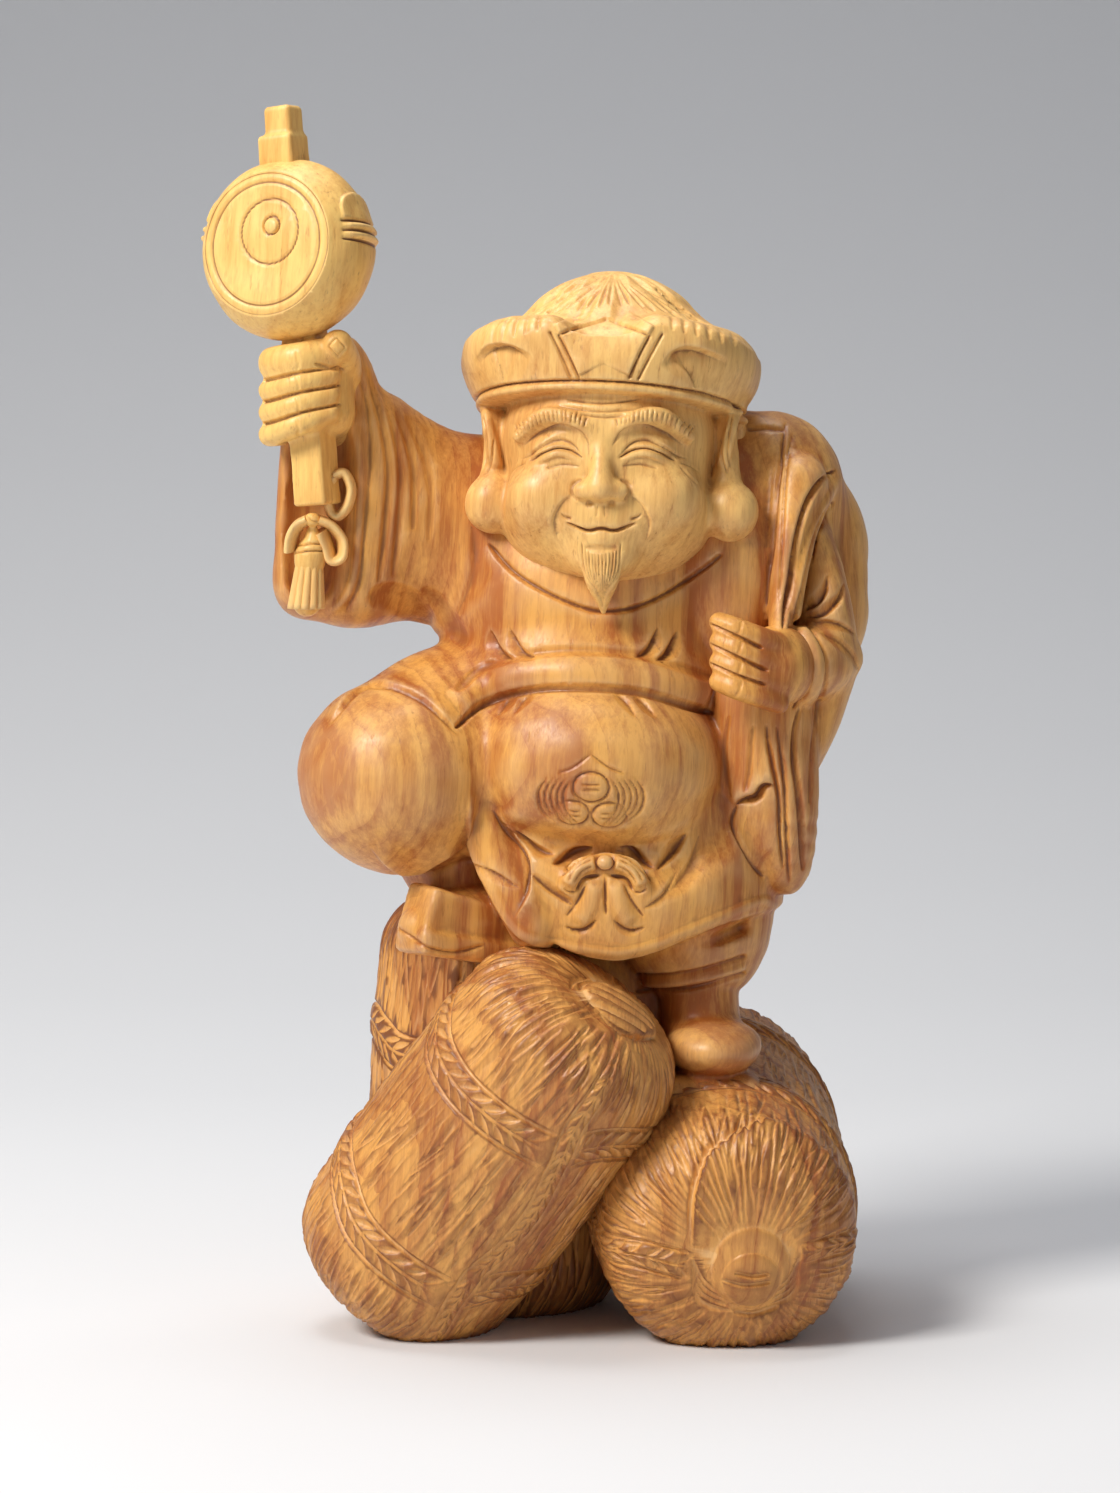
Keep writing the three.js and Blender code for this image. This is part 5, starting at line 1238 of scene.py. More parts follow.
baleSizes = {
    "bodyRadius": 22.8,
    "halfLength": 37.5,
    "thinning": 0.08,
    "endRounding": 12,
    "step": 0.25,
    "drawing": 0.16,
    "straw": {"across": 1.8, "row": 4.8, "length": (6, 12), "width": (0.7, 1.2), "depth": (0.4, 0.75),
              "lean": 0.12},
    "facets": {"across": 3.4, "row": 7, "length": (9, 16), "width": (2.2, 3.4), "depth": (0.25, 0.45),
               "lean": 0.05},
    "ropeWidth": 6.2,
    "ropeRaised": 0.55,
    "ropePitch": 3.1,
}
baleLying = {
    "frontBale": {
        "at": (-16.6, -16.9, 32), "along": (0.57, -0.26, 0.78), "front": (0, -1,
                                                                          0), "size": 0.93, "seed": 21,
        "triangles": 185000,
        "ropes": [
            [[-60, 16.5], [-42, 18], [-30, 16.4], [-22, 14.2], [-14, 13.5], [-6, 13.6], [2, 14.2], [9, 15]],
            [[8.6, 14.6], [12, 17.8], [18, 20.2], [28, 20], [44, 17], [60, 15.6], [73, 16.5]],
            [[-66, -15], [-44, -12.6], [-30, -13.6], [-20, -15.6], [-12, -17.9], [-2, -18.4], [9.2, -18]],
            [[9, -18.2], [13, -15], [18, -12.4], [28, -12], [48, -14.4], [67, -15]],
        ],
        "lengthwise": [[[11, 40], [10, 36], [8.3, 29], [8.2, 20], [10.4, 11], [12, 3], [11.8, -5],
                        [10.3, -12], [10.5, -18],
                        [11.9, -24], [12.6, -31]], [[-38, 40], [-37, 20], [-37, -10], [-36, -32]]],
    },
    "rightBale": {
        "at": (23.2, 2, 24.4), "along": (-0.04, 0.975, 0.2), "front": (0, 0, 1), "size": 1.02, "seed": 22,
        "triangles": 185000,
        "ropes": [[[-73, 16], [-36, 15], [0, 16.5], [36, 15], [73, 16]],
                  [[-73, -16], [-36, -15], [0, -15], [36, -16], [73, -16]]],
        "lengthwise": [[[47, 42], [46, 15], [47, -15], [44, -31]], [[-38, 40], [-37, 10], [-36, -31]]],
    },
    "backBale": {
        "at": (-15, 14, 34.8), "along": (0.03, 0.1, 0.99), "front": (0, -1, 0), "size": 1.03, "seed": 23,
        "triangles": 60000,
        "ropes": [[[-74, 15], [-36, 14.6], [-27, 12.2], [-19, 9], [0, 8.4], [30, 13], [74, 15]],
                  [[-74, -16], [-36, -17], [0, -15], [36, -16], [74, -16]]],
        "lengthwise": [[[-62, 40], [-61, 10], [-62, -31]], [[60, 40], [58, 5], [60, -31]]],
    },
}


def baleProfile(size):
    # radius, place along the axis and distance along the outline, from one end to the other in even steps
    b = baleSizes
    half, rounding = b["halfLength"] * size, b["endRounding"] * size

    def bodyAt(y):
        return b["bodyRadius"] * size * (1 - b["thinning"] * (y / half) ** 2)

    corner = bodyAt(half - rounding) - rounding
    upper = [(0, half + 0.5)]
    for turn in np.linspace(0.06, math.pi / 2, 20):
        upper.append((corner + rounding * math.sin(turn), half - rounding * (1 - math.cos(turn))))
    upper += [(bodyAt(y), y) for y in np.linspace(half - rounding - 1, 0, 20)]
    points = np.array([(r, -y) for r, y in upper[:-1]] + upper[::-1])
    run = np.concatenate([[0], np.cumsum(np.linalg.norm(np.diff(points, axis=0), axis=1))])
    even = np.linspace(0, run[-1], int(run[-1] / b["step"]) + 1)
    return np.interp(even, run, points[:, 0]), np.interp(even, run, points[:, 1]), even - run[-1] / 2


def drawStraw(sheet, kind, draw, radius, run):
    # rows of strokes along the bale, fewer where it narrows to its ends
    widest = radius.max()
    for row in np.arange(run[0] + 5, run[-1] - 5, kind["row"]):
        here = float(np.interp(row, run, radius))
        if here < 9:
            continue
        count = int(2 * math.pi * here / kind["across"])
        for n in range(count):
            u = 2 * math.pi * widest * (n + draw.uniform(-0.35, 0.35)) / count
            w = row + draw.uniform(-0.5, 0.5) * kind["row"]
            reach = draw.uniform(*kind["length"]) / 2
            lean = (draw.normal() * kind["lean"] + 0.04) * reach * widest / here
            wide = draw.uniform(*kind["width"]) * min(widest / here, 2.2)
            sheet.groove([[u - lean, w - reach], [u + lean, w + reach]], wide, draw.uniform(*kind["depth"]),
                         ends=0.45,
                         sharp=1.3 if wide < 1.8 else 2)


def drawRope(sheet, path, width, pitch, raised, cuts=0.8):
    # a flat straw rope: two edge lines, a middle line and slanting cuts on both sides of it
    path = np.asarray(path, float)
    length = np.linalg.norm(np.diff(path, axis=0), axis=1).sum()
    line = spline(path, max(6, int(length / 1.2)))
    way = np.gradient(line, axis=0)
    way /= np.linalg.norm(way, axis=1)[:, None]
    aside = np.stack([-way[:, 1], way[:, 0]], 1)
    sheet.wipe(path, width + 0.5)
    sheet.ridge(path, width * 1.25, raised, ends=0.02)
    for off in (-0.5, 0.5):
        sheet.groove(line + aside * off * width, 0.95, cuts, ends=0.03)
    sheet.groove(line, 0.6, cuts * 0.6, ends=0.03)
    run = np.concatenate([[0], np.cumsum(np.linalg.norm(np.diff(line, axis=0), axis=1))])
    for at in np.arange(0.2, run[-1] - pitch, pitch):
        k = int(np.searchsorted(run, at))
        a, t, n = line[k], way[k], aside[k]
        for side in (-1, 1):
            start, end = a + n * side * width * 0.04, a + t * pitch * 1.25 + n * side * width * 0.46
            middle = (start + end) / 2 - n * side * width * 0.05
            sheet.leaf([start, middle, end], 1.3, cuts, side=side)


def drawSpokes(sheet, draw, middle, inner, outer, count):
    # straws that run in to the middle of an end
    for n in range(count):
        turn = 2 * math.pi * (n + draw.uniform(-0.4, 0.4)) / count
        way = np.array([math.cos(turn), math.sin(turn)])
        first = draw.uniform(inner, outer - 3)
        last = min(first + draw.uniform(3.5, 8), outer)
        aside = np.array([-way[1], way[0]]) * draw.normal() * 0.4
        sheet.groove([way * first + middle * (1 - first / outer),
                      way * last + middle * (1 - last / outer) + aside],
                     draw.uniform(0.7, 1.1), draw.uniform(0.3, 0.6), ends=0.4)


def drawPlainEnd(sheet, draw):
    # straw knot in the middle of an end
    drawSpokes(sheet, draw, np.zeros(2), 5, 20, 150)
    sheet.mound((0, 0), (5.4, 5.2), 1.7)
    for z in (0.8, -0.9):
        sheet.groove([[-3, z], [0, z - 0.3], [3, z]], 0.8, 0.6)
    for n in range(9):
        turn = 2 * math.pi * (n + draw.uniform(-0.2, 0.2)) / 9
        points = [[r * math.cos(turn + 0.14 * r), r * math.sin(turn + 0.14 * r)] for r in (5.2, 7.4, 9.6)]
        sheet.leaf(points, 1.1, 0.5)


def drawFrontBaleEnd(sheet, draw):
    drawSpokes(sheet, draw, np.array([3.2, 1]), 6, 20, 150)
    sheet.wipe([[-1.5, 1], [8, -1]], 13)
    sheet.mound((3.2, 1), (7.6, 5.6), 2.4, -18)
    sheet.leaf([[0, 7.2], [3.1, 8], [6.2, 6.8], [8.6, 4.4], [10.8, 0.8]], 1.8, 1.5, side=1)
    sheet.layer([[1, 9.4], [4.4, 9.8], [7.6, 7.6], [10.4, 2.6]], 0.7, 6, side=1)
    for z in (4.6, 2.6, 0.8, -1.2, -3):
        sheet.groove([[-3.6 + abs(z - 1) / 3, z + 1.4], [3, z + 0.9], [9.8 - abs(z - 1) / 3, z - 1.2]], 1.3,
                     1.0)
    sheet.leaf([[-4.6, 4.6], [-3.8, 1], [-1.6, -2.4]], 1.3, 0.7, side=-1)
    sheet.leaf([[-5.9, 6.6], [-5.6, 2], [-3.6, -2.8]], 1.2, 0.5, side=-1)


def drawRightBaleEnd(sheet, draw):
    knot = np.array([3, -2.6])
    rim = np.array([[-6.9, 2], [-6.9, 7], [-6.4, 11.8], [-4.8, 15.8], [-2.6, 18], [0.8, 19.7], [4.6, 20.6],
                    [9, 20.2], [13.4, 18.4],
                    [17, 15.3], [19.7, 11.6], [21.4, 7.4]])
    line = spline(rim, 97)
    way = np.gradient(line, axis=0)
    aside = np.stack([-way[:, 1], way[:, 0]], 1) / np.linalg.norm(way, axis=1)[:, None]
    run = np.linspace(0, 22, 97)
    wavy = line + aside * (0.55 * abs(np.sin(math.pi * run)) * np.clip((run - 5) / 2, 0, 1))[:, None]
    drawSpokes(sheet, draw, knot, 7, 20.5, 170)
    # the lid: wiped clean, raised from its wavy edge, and straws from the notches to the knot
    for share in (0.2, 0.42, 0.64):
        sheet.wipe(line * (1 - share) + knot * share, 7)
    sheet.layer(wavy, 1.3, 19, side=-1, wall=0.25, ends=0.1)
    sheet.leaf(wavy + aside * 0.35, 1.4, 1.0, side=1)
    for n in range(3, 22):
        start = np.array([np.interp(n, run, line[:, k]) for k in (0, 1)])
        for first, last in ((0.02, 0.42 + draw.uniform(-0.08, 0.1)), (0.3 + draw.uniform(0, 0.1), 0.66)):
            bend = draw.normal(size=2) * 0.25
            a, b = start + (knot - start) * first, start + (knot - start) * last
            sheet.groove([a, (a + b) / 2 + bend, b], draw.uniform(0.6, 0.9), draw.uniform(0.32, 0.5),
                         ends=0.3)
    # leaf-shaped straw tips behind the lid
    for n in range(5, 20):
        at = np.array([np.interp(n + 0.5, run, line[:, k]) for k in (0, 1)])
        out = (at - knot) / np.linalg.norm(at - knot)
        lean = np.array([-out[1], out[0]]) * draw.uniform(-0.9, 0.9)
        for way in (-0.5, 0.5):
            side = np.array([-out[1], out[0]]) * way
            sheet.leaf([at + out * 0.8, at + out * 2 + side + lean * 0.5, at + out * 3.6 + lean], 0.8, 0.45,
                       side=1 if way > 0 else -1)
    # ropes to both sides
    drawRope(sheet, [[-25, -1], [-21, -0.8], [-15, 0], [-8, -1.4]], 4.8, 2.3, 0.4)
    drawRope(sheet, [[25, -0.6], [20.4, 0.3], [16, 0.9], [11.6, 0.4]], 3.6, 2.1, 0.4)
    # knot
    sheet.wipe([[knot[0] - 0.5, knot[1]], [knot[0] + 0.5, knot[1]]], 15)
    sheet.mound(knot + [0, 0.8], (6.6, 7.4), 1.2)
    sheet.mound(knot + [0, -1], (4.9, 5), 0.9)
    for points, wide in (([[0.2, -1.9], [2.9, -2.5], [5.9, -2.3]], 1.0),
                         ([[-1.8, -3.4], [1.7, -4.1], [6.2, -3.8]], 1.0),
                         ([[0.4, -9.8], [3.6, -10.4], [8, -8.9]], 1.4)):
        sheet.groove(points, wide, 0.8, ends=0.2)
    for n in range(4):
        off = 1.5 * n
        sheet.leaf([[-6.8, 0.4 - off], [-5, -3.8 - off * 0.9], [-2.2 + off * 0.55, -6.4 - off * 0.75]], 1.2,
                   0.75, side=-1)
        sheet.leaf([[11.4, 0.6 - off], [9.8, -3.6 - off * 0.8], [7.4 - off * 0.4, -5.4 - off * 0.8]], 1.1,
                   0.7, side=1)


def makeBale(name, material):
    lying = baleLying[name]
    draw = np.random.default_rng(lying["seed"])
    radius, along, run = baleProfile(lying["size"])
    widest = radius.max()
    around = 2 * int(math.pi * widest / baleSizes["step"])
    turn = np.arange(around) * 2 * math.pi / around
    r, y = radius[1:-1, None], along[1:-1, None]
    points = np.stack([r * np.sin(turn), r * np.cos(turn), y + 0 * turn], 2).reshape(-1, 3)
    rows = len(r)
    i = np.arange(around)
    after = (i + 1) % around
    quads = [np.stack([n * around + i, (n + 1) * around + i, (n + 1) * around + after, n * around + after],
                      1)
             for n in range(rows - 1)]
    low, high, top = rows * around, rows * around + 1, (rows - 1) * around
    even, one, two = i[::2], i[1::2], (i[::2] + 2) % around
    quads.append(np.stack([0 * even + low, even, one, two], 1))
    quads.append(np.stack([0 * even + high, top + two, top + one, top + even], 1))
    points = np.vstack([points, [[0, 0, along[0]], [0, 0, along[-1]]]])
    piece = pieceOf(name, meshOf(name, points, np.vstack(quads)))
    # straw and ropes round the bale
    sheet = Sheet([0, run[0]], [2 * math.pi * widest, run[-1]], baleSizes["drawing"],
                  around=2 * math.pi * widest)
    for kind in ("facets", "straw"):
        drawStraw(sheet, baleSizes[kind], draw, radius, run)
    for path in lying["ropes"]:
        drawRope(sheet, path, baleSizes["ropeWidth"], baleSizes["ropePitch"], baleSizes["ropeRaised"])
    for path in lying["lengthwise"]:
        drawRope(sheet, path, 3.4, 2.5, 0.25, 0.6)
    across = normals(piece.data)
    u = np.tile(turn * widest, rows)
    w = np.repeat(run[1:-1], around)
    lift = sheet.heights(u, w) * np.clip(np.repeat(radius[1:-1], around) / 4 - 3.4, 0, 1)
    points[:-2] += across[:-2] * lift[:, None]
    # both ends
    for end, drawEnd in ((-1, drawRightBaleEnd if name == "rightBale" else drawPlainEnd),
                         (1, drawFrontBaleEnd if name == "frontBale" else drawPlainEnd)):
        sheet = Sheet([-25, -25], [25, 25], baleSizes["drawing"])
        drawEnd(sheet, draw)
        points = layFrom(points, across, sheet, axes=(0, 1), facing=(0, 0, end))
    # to its place, and sawn off at the ground
    axis = np.array(Vector(lying["along"]).normalized())
    front = np.array(lying["front"]) - axis * (axis @ np.array(lying["front"]))
    front /= np.linalg.norm(front)
    points = points @ np.stack([np.cross(axis, front), front, axis]) + lying["at"]
    movePoints(piece.data, points)
    sawn(piece)
    thinned(piece, lying["triangles"])
    finished(piece, material)
    turnedOut(piece)
    return piece


def turnedOut(piece):
    # drops the crumbs that the saw leaves, and turns the faces outwards: the lying axes are left-handed
    mesh = bmesh.new()
    mesh.from_mesh(piece.data)
    waiting, parts = set(mesh.verts), []
    while waiting:
        part, rim = [], [waiting.pop()]
        while rim:
            corner = rim.pop()
            part.append(corner)
            near = {edge.other_vert(corner) for edge in corner.link_edges} & waiting
            waiting -= near
            rim.extend(near)
        parts.append(part)
    crumbs = [corner for part in sorted(parts, key=len)[:-1] for corner in part]
    bmesh.ops.delete(mesh, geom=crumbs, context="VERTS")
    bmesh.ops.reverse_faces(mesh, faces=mesh.faces[:])
    mesh.to_mesh(piece.data)
    mesh.free()
    report(f"{piece.name}: {len(crumbs)} corners of crumbs dropped")


def sawn(piece):
    # cuts the piece off flat at the ground
    mesh = bmesh.new()
    mesh.from_mesh(piece.data)
    cut = bmesh.ops.bisect_plane(mesh, geom=mesh.verts[:] + mesh.edges[:] + mesh.faces[:],
                                 plane_co=(0, 0, 0),
                                 plane_no=(0, 0, -1), clear_outer=True)
    edges = [e for e in cut["geom_cut"] if isinstance(e, bmesh.types.BMEdge)]
    filled = bmesh.ops.holes_fill(mesh, edges=edges)["faces"]
    bmesh.ops.triangulate(mesh, faces=filled)
    mesh.to_mesh(piece.data)
    mesh.free()


# Mallet barrel, cord loops and tassel strands, as trees of geometry nodes

malletSizes = {
    "at": (-50.34, -13.2, 185.5),
    "along": (-0.45, -0.885, 0.1),
    "barrel": {"Middle Radius": 15.4, "Face Radius": 12.1, "Length": 15.6, "Edge": 0.5},
    "barrelGrid": (150, 300),
    "ringAt": (0.7, 1.9),  # which way the rings stand off the middle of the face
    "drawing": 0.12,
    "triangles": 50000,
    "toolMarks": 0.07,
}
tasselSizes = {
    "at": (-47.3, -12.9, 129.2),
    "strands": {"Count": 12, "Top Radius": 1.7, "Bottom Radius": 2.5, "Height": 9.4, "Thickness": 1.5},
    "cord": {"Width": 5.6, "Depth": 1.8},
    "paths": [
        [[-42.9, -12, 147.4], [-41, -12, 147.6], [-39.9, -12, 145], [-40.6, -12, 142], [-42.2, -12, 140.4],
         [-43.5, -12, 141.4], [-43.6, -12, 144.6], [-42.9, -12, 147]],
        [[-45.6, -13, 139.8], [-43.4, -12.6, 138.8], [-41.6, -12, 136.4], [-41.6, -12, 133.6],
         [-43.2, -12, 133],
         [-44, -12, 135.4], [-45, -12.6, 138]],
        [[-47, -13.4, 139.9], [-48.8, -13, 138.9], [-49.9, -12.6, 137], [-50.2, -12, 134.6]],
    ],
}


class Tree:
    # a geometry node tree, whose named inputs are numbers
    def __init__(self, name, inputs):
        self.group = bpy.data.node_groups.new(name, "GeometryNodeTree")
        self.group.interface.new_socket("Geometry", in_out="INPUT", socket_type="NodeSocketGeometry")
        self.sockets = {}
        for key, value in inputs.items():
            made = self.group.interface.new_socket(key, in_out="INPUT", socket_type="NodeSocketFloat")
            made.default_value = value
            self.sockets[key] = made.identifier
        self.group.interface.new_socket("Geometry", in_out="OUTPUT", socket_type="NodeSocketGeometry")
        self.input = self.group.nodes.new("NodeGroupInput").outputs

    def node(self, kind, inputs=(), **settings):
        made = self.group.nodes.new(kind)
        for key, value in settings.items():
            setattr(made, key, value)
        for key, value in dict(inputs).items():
            if isinstance(value, bpy.types.NodeSocket):
                self.group.links.new(value, made.inputs[key])
            else:
                made.inputs[key].default_value = value
        return made

    def math(self, operation, a, b=0.0, c=0.0):
        return self.node("ShaderNodeMath", {0: a, 1: b, 2: c}, operation=operation).outputs[0]

    def vector(self, x=0.0, y=0.0, z=0.0):
        return self.node("ShaderNodeCombineXYZ", {0: x, 1: y, 2: z}).outputs[0]

    def finish(self, geometry, piece, sizes, material):
        # ends the tree, gives it to the piece with its own sizes, and makes the outcome its mesh
        real = self.node("GeometryNodeRealizeInstances", {0: geometry}).outputs[0]
        coloured = self.node("GeometryNodeSetMaterial", {"Geometry": real, "Material": material}).outputs[0]
        self.node("NodeGroupOutput", {0: coloured})
        shaper = piece.modifiers.new("shaper", "NODES")
        shaper.node_group = self.group
        for key, value in sizes.items():
            shaper[self.sockets[key]] = float(value)
        return applied(piece)


def barrelTree():
    # a turned barrel: a rolled-up grid, whose rows run from the middle of one face to that of the other
    tree = Tree("turnedBarrel", {"Middle Radius": 15.0, "Face Radius": 12.0, "Length": 15.0, "Edge": 0.5})
    middle, face, length, edge = (tree.input[n] for n in (1, 2, 3, 4))
    rows, columns = malletSizes["barrelGrid"]
    grid = tree.node("GeometryNodeMeshGrid", {"Size X": 1.0, "Size Y": 1.0, "Vertices X": columns + 1,
                                              "Vertices Y": rows})
    place = tree.node("ShaderNodeSeparateXYZ", {0: tree.node("GeometryNodeInputPosition").outputs[0]})
    turn = tree.math("MULTIPLY", place.outputs[0], 2 * math.pi)
    run = tree.math("MULTIPLY", place.outputs[1], 2.0)  # -1 to 1; the outer quarters are the faces
    far = tree.math("ABSOLUTE", run)
    onFace = tree.math("MINIMUM", tree.math("MULTIPLY", tree.math("SUBTRACT", 1.0, far), 2.0), 1.0)
    onSide = tree.math("MINIMUM", tree.math("MULTIPLY", far, 2.0), 1.0)
    bulge = tree.math("SUBTRACT", 1.0, tree.math("POWER", onSide, 2.0))
    swell = tree.math("MULTIPLY", tree.math("SUBTRACT", middle, face), bulge)
    radius = tree.math("ADD", tree.math("MULTIPLY", face, onFace), swell)
    rounded = tree.math("MULTIPLY", edge, tree.math("POWER", onFace, 24.0))
    isFace = tree.math("GREATER_THAN", far, 0.4999)
    half = tree.math("MULTIPLY", length, 0.5)
    flat = tree.math("SUBTRACT", half, tree.math("MULTIPLY", rounded, isFace))
    height = tree.math("MULTIPLY", tree.math("SIGN", run), tree.math("MULTIPLY", flat, onSide))
    x = tree.math("MULTIPLY", radius, tree.math("COSINE", turn))
    y = tree.math("MULTIPLY", radius, tree.math("SINE", turn))
    rolled = tree.node("GeometryNodeSetPosition", {"Geometry": grid.outputs[0],
                                                   "Position": tree.vector(x, y, height)})
    closed = tree.node("GeometryNodeMergeByDistance", {"Geometry": rolled.outputs[0], "Distance": 0.002})
    return tree, closed.outputs[0]


def makeBarrel(material):
    size = malletSizes
    tree, geometry = barrelTree()
    piece = tree.finish(geometry, pieceOf("malletBarrel", bpy.data.meshes.new("malletBarrel")),
                        size["barrel"], material)
    points, across = places(piece.data), normals(piece.data)
    # cord and arched panel on both sides, drawn round the barrel
    radius = size["barrel"]["Middle Radius"]
    girth = 2 * math.pi * radius
    sheet = Sheet([0, -8], [girth, 8], size["drawing"], around=girth)
    for side in (1, -1):
        def at(points):
            return [[u if side > 0 else girth / 2 - u, w] for u, w in points]

        for u in (1.9, 3.5):
            sheet.ridge(at([[u, 5.4], [u, 0], [u, -6]]), 1.7, 0.75, ends=0.12)
        for u in (1.0, 2.7, 4.4):
            sheet.groove(at([[u, 5.6], [u, 0], [u, -6.4]]), 0.6, 0.6, ends=0.05)
        arch = [[4.8, 5.2], [7.4, 5], [9.4, 3.4], [10.2, 0], [9.4, -3.4], [7.4, -5], [4.8, -5.2]]
        sheet.layer(at(arch), 0.6, 3, side=-side, wall=0.35, ends=0.02)
    u = np.arctan2(points[:, 1], points[:, 0]) * radius
    onSide = np.clip(np.hypot(across[:, 0], across[:, 1]) * 2 - 1, 0, 1)
    points += across * (sheet.heights(u, points[:, 2]) * onSide)[:, None]
    # rings on both faces
    sheet = Sheet([-14, -14], [14, 14], size["drawing"])
    turn = np.linspace(0, 2 * math.pi, 41)
    circle = np.stack([np.cos(turn), np.sin(turn)], 1)
    for radius, off, width, depth in ((10.5, 0, 0.6, 0.5), (5.5, 1.1, 0.6, 0.45), (1.5, 1.6, 0.6, 0.5)):
        sheet.groove(circle * radius + np.array(size["ringAt"]) * off, width, depth, ends=0)
    sheet.mound(np.array(size["ringAt"]) * 1.6, (1.5, 1.5), 0.35)
    for end in (1, -1):
        points = layFrom(points, across, sheet, axes=(0, 1), facing=(0, 0, end))
    points += across * toolMarks(points, size["toolMarks"], 6)[:, None]
    axis = np.array(Vector(size["along"]).normalized())
    up = np.array([0, 0, 1]) - axis * axis[2]
    up /= np.linalg.norm(up)
    points = points @ np.stack([np.cross(up, axis), up, axis]) + size["at"]
    movePoints(piece.data, points)
    thinned(piece, size["triangles"])
    finished(piece, material)


def makeCords(material):
    # the cord's loops, which follow paths of edges
    name, paths = "tasselCords", tasselSizes["paths"]
    points = [p for path in paths for p in spline(path, 12 * len(path))]
    mesh = bpy.data.meshes.new(name)
    edges, start = [], 0
    for path in paths:
        count = 12 * len(path)
        edges += [(start + n, start + n + 1) for n in range(count - 1)]
        start += count
    mesh.from_pydata(points, edges, [])
    tree = Tree("followingCord", {"Width": 1.0, "Depth": 1.0})
    curve = tree.node("GeometryNodeMeshToCurve", {"Mesh": tree.input[0]}).outputs[0]
    circle = tree.node("GeometryNodeCurvePrimitiveCircle", {"Resolution": 16, "Radius": 0.5}).outputs[0]
    flat = tree.node("GeometryNodeTransform", {"Geometry": circle,
                                               "Scale": tree.vector(tree.input[1], tree.input[2], 1.0)})
    cord = tree.node("GeometryNodeCurveToMesh", {"Curve": curve, "Profile Curve": flat.outputs[0],
                                                 "Fill Caps": True})
    piece = tree.finish(cord.outputs[0], pieceOf(name, mesh), tasselSizes["cord"], material)
    finished(piece, material)


def makeStrands(material):
    # a skirt of strands round the tassel
    tree = Tree("tasselStrands", {"Count": 16, "Top Radius": 2.0, "Bottom Radius": 3.0, "Height": 10.0,
                                  "Thickness": 1.0})
    count, top, bottom, height, thick = (tree.input[n] for n in range(1, 6))
    points = tree.node("GeometryNodeMeshLine", {"Count": count, "Start Location": (0, 0, 0),
                                                "Offset": (0, 0, 0)})
    index = tree.node("GeometryNodeInputIndex").outputs[0]
    turn = tree.math("MULTIPLY", tree.math("DIVIDE", index, count), 2 * math.pi)
    middle = tree.math("MULTIPLY", tree.math("ADD", top, bottom), 0.5)
    place = tree.vector(tree.math("MULTIPLY", middle, tree.math("COSINE", turn)),
                        tree.math("MULTIPLY", middle, tree.math("SINE", turn)), 0.0)
    ring = tree.node("GeometryNodeSetPosition", {"Geometry": points.outputs[0], "Position": place})
    lean = tree.math("ARCTAN2", tree.math("SUBTRACT", top, bottom), height)
    strand = tree.node("GeometryNodeMeshCone", {"Vertices": 12, "Side Segments": 10, "Fill Segments": 1,
                                                "Radius Top": tree.math("MULTIPLY", thick, 0.34),
                                                "Radius Bottom": tree.math("MULTIPLY", thick,
                                                                           0.52), "Depth": height})
    lowered = tree.node("GeometryNodeTransform", {"Geometry": strand.outputs[0],
                                                  "Translation": tree.vector(0.0, 0.0,
                                                                             tree.math("MULTIPLY", height,
                                                                                       -0.5))})
    laid = tree.node("GeometryNodeInstanceOnPoints", {"Points": ring.outputs[0],
                                                      "Instance": lowered.outputs[0],
                                                      "Rotation": tree.vector(0.0, lean, turn)})
    piece = pieceOf("tasselStrands", bpy.data.meshes.new("tasselStrands"))
    piece = tree.finish(laid.outputs[0], piece, tasselSizes["strands"], material)
    spots = places(piece.data) * [1, 0.92, 1]
    spots[:, 0] += 0.08 * spots[:, 2]
    movePoints(piece.data, spots + tasselSizes["at"])
    finished(piece, material)


# All the pieces, each in its tint of the wood, the tints partly painted light and shade

woods = {name: makeWood(name) for name in woodTints}
makeRobe(woods["robe"])
makeHead(woods["head"])
makeHand("raisedHand", "raised", raisedHandForms, drawRaisedHand, woods["mallet"])
makeHand("holdingHand", "holding", holdingHandForms, drawHoldingHand, woods["robe"])
for name in baleLying:
    makeBale(name, woods["bales"])
makeBarrel(woods["mallet"])
makeCords(woods["mallet"])
makeStrands(woods["mallet"])


# Floor, light and camera

stageSizes = {
    "floorDepth": 0.9,
    "wallAt": 0.25,  # where the floor starts to bend upwards
    "wallHeight": 2.2,
    "bend": 1.3,
    "width": 4.4,
    "camera": (-4.2, -700, 150),  # in the carver's millimetres
    "target": (-4.2, 0, 100),
    "lens": 96.8,
    "sky": 0.2,
}
lampSizes = {
    "keyLight": {"at": (-0.55, -0.5, 0.75), "size": (0.3, 0.3), "power": 10, "colour": (1, 0.97, 0.92)},
    "fillLight": {"at": (0.8, -0.7, 0.45), "size": (0.6, 0.6), "power": 0.6, "colour": (0.95, 0.97, 1)},
    "topLight": {"at": (-0.1, 0.1, 0.9), "size": (0.5, 0.4), "power": 3.6, "colour": (1, 1, 1)},
}


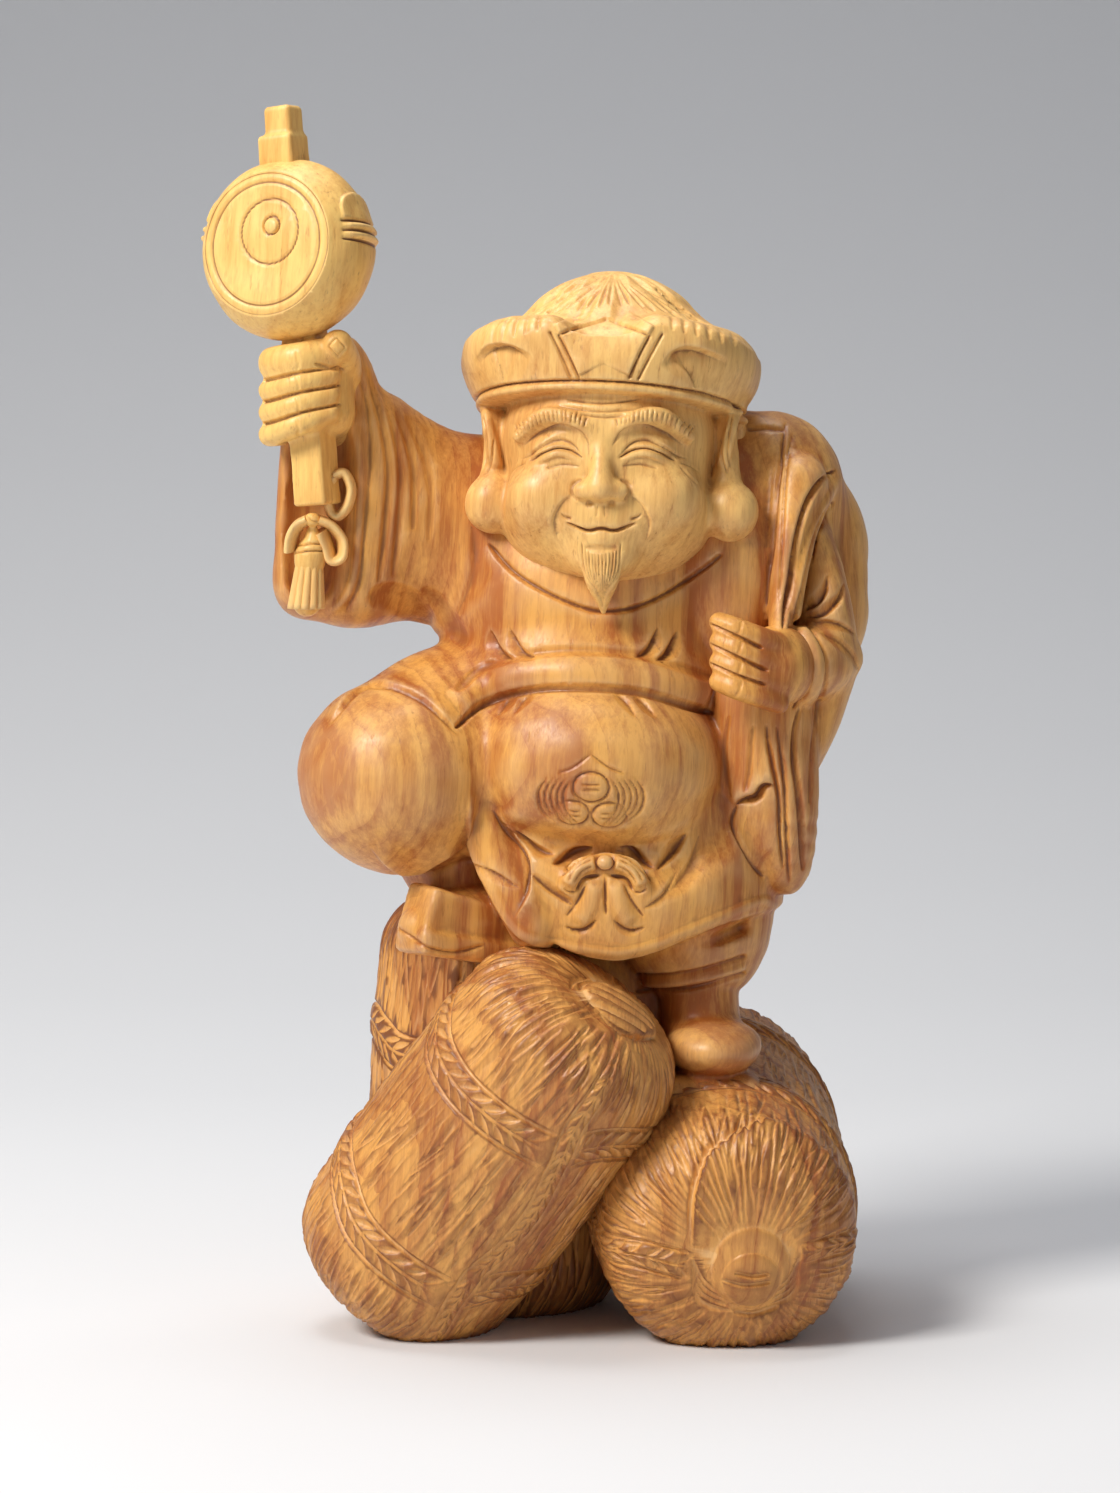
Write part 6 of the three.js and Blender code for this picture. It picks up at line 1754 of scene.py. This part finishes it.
def makePaper():
    material = bpy.data.materials.new("palePaper")
    material.use_nodes = True
    shader = material.node_tree.nodes["Principled BSDF"]
    shader.inputs["Base Color"].default_value = (0.74, 0.745, 0.76, 1)
    shader.inputs["Roughness"].default_value = 0.9
    return material


def makeStage():
    size = stageSizes
    profile = [(-size["floorDepth"], 0)]
    for n in range(17):
        turn = math.pi / 2 * n / 16
        profile.append((size["wallAt"] + size["bend"] * math.sin(turn), size["bend"] * (1 - math.cos(turn))))
    profile.append((size["wallAt"] + size["bend"], size["wallHeight"]))
    points = [(x, y, z) for y, z in profile for x in (-size["width"] / 2, size["width"] / 2)]
    faces = np.array([[2 * n, 2 * n + 1, 2 * n + 3, 2 * n + 2] for n in range(len(profile) - 1)])
    floor = pieceOf("floor", meshOf("floor", points, faces))
    floor.data.shade_smooth()
    floor.data.materials.append(makePaper())


def makeLamp(name):
    size = lampSizes[name]
    light = bpy.data.lights.new(name, "AREA")
    light.shape = "RECTANGLE"
    light.size, light.size_y = size["size"]
    light.energy = size["power"]
    light.color = size["colour"]
    lamp = bpy.data.objects.new(name, light)
    lamp.location = size["at"]
    towards = Vector((0, 0, 0.1)) - Vector(size["at"])
    lamp.rotation_euler = towards.to_track_quat("-Z", "Y").to_euler()
    bpy.context.scene.collection.objects.link(lamp)


def makeCamera():
    size = stageSizes
    camera = bpy.data.cameras.new("photoView")
    camera.sensor_fit = "VERTICAL"
    camera.sensor_height = 36
    camera.lens = size["lens"]
    camera.clip_end = 20
    eye = bpy.data.objects.new("photoView", camera)
    place, target = ((Vector(size[k]) + Vector(figure["toFrame"])) * metres for k in ("camera", "target"))
    eye.location = place
    eye.rotation_euler = (target - place).to_track_quat("-Z", "Y").to_euler()
    bpy.context.scene.collection.objects.link(eye)
    bpy.context.scene.camera = eye


def makeWorld():
    world = bpy.data.worlds.new("studio")
    world.use_nodes = True
    sky = world.node_tree.nodes["Background"]
    sky.inputs["Color"].default_value = (0.86, 0.9, 1, 1)
    sky.inputs["Strength"].default_value = stageSizes["sky"]
    bpy.context.scene.world = world
    bpy.context.scene.view_settings.view_transform = "Standard"


makeStage()
for name in lampSizes:
    makeLamp(name)
makeWorld()
makeCamera()

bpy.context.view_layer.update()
report("done")
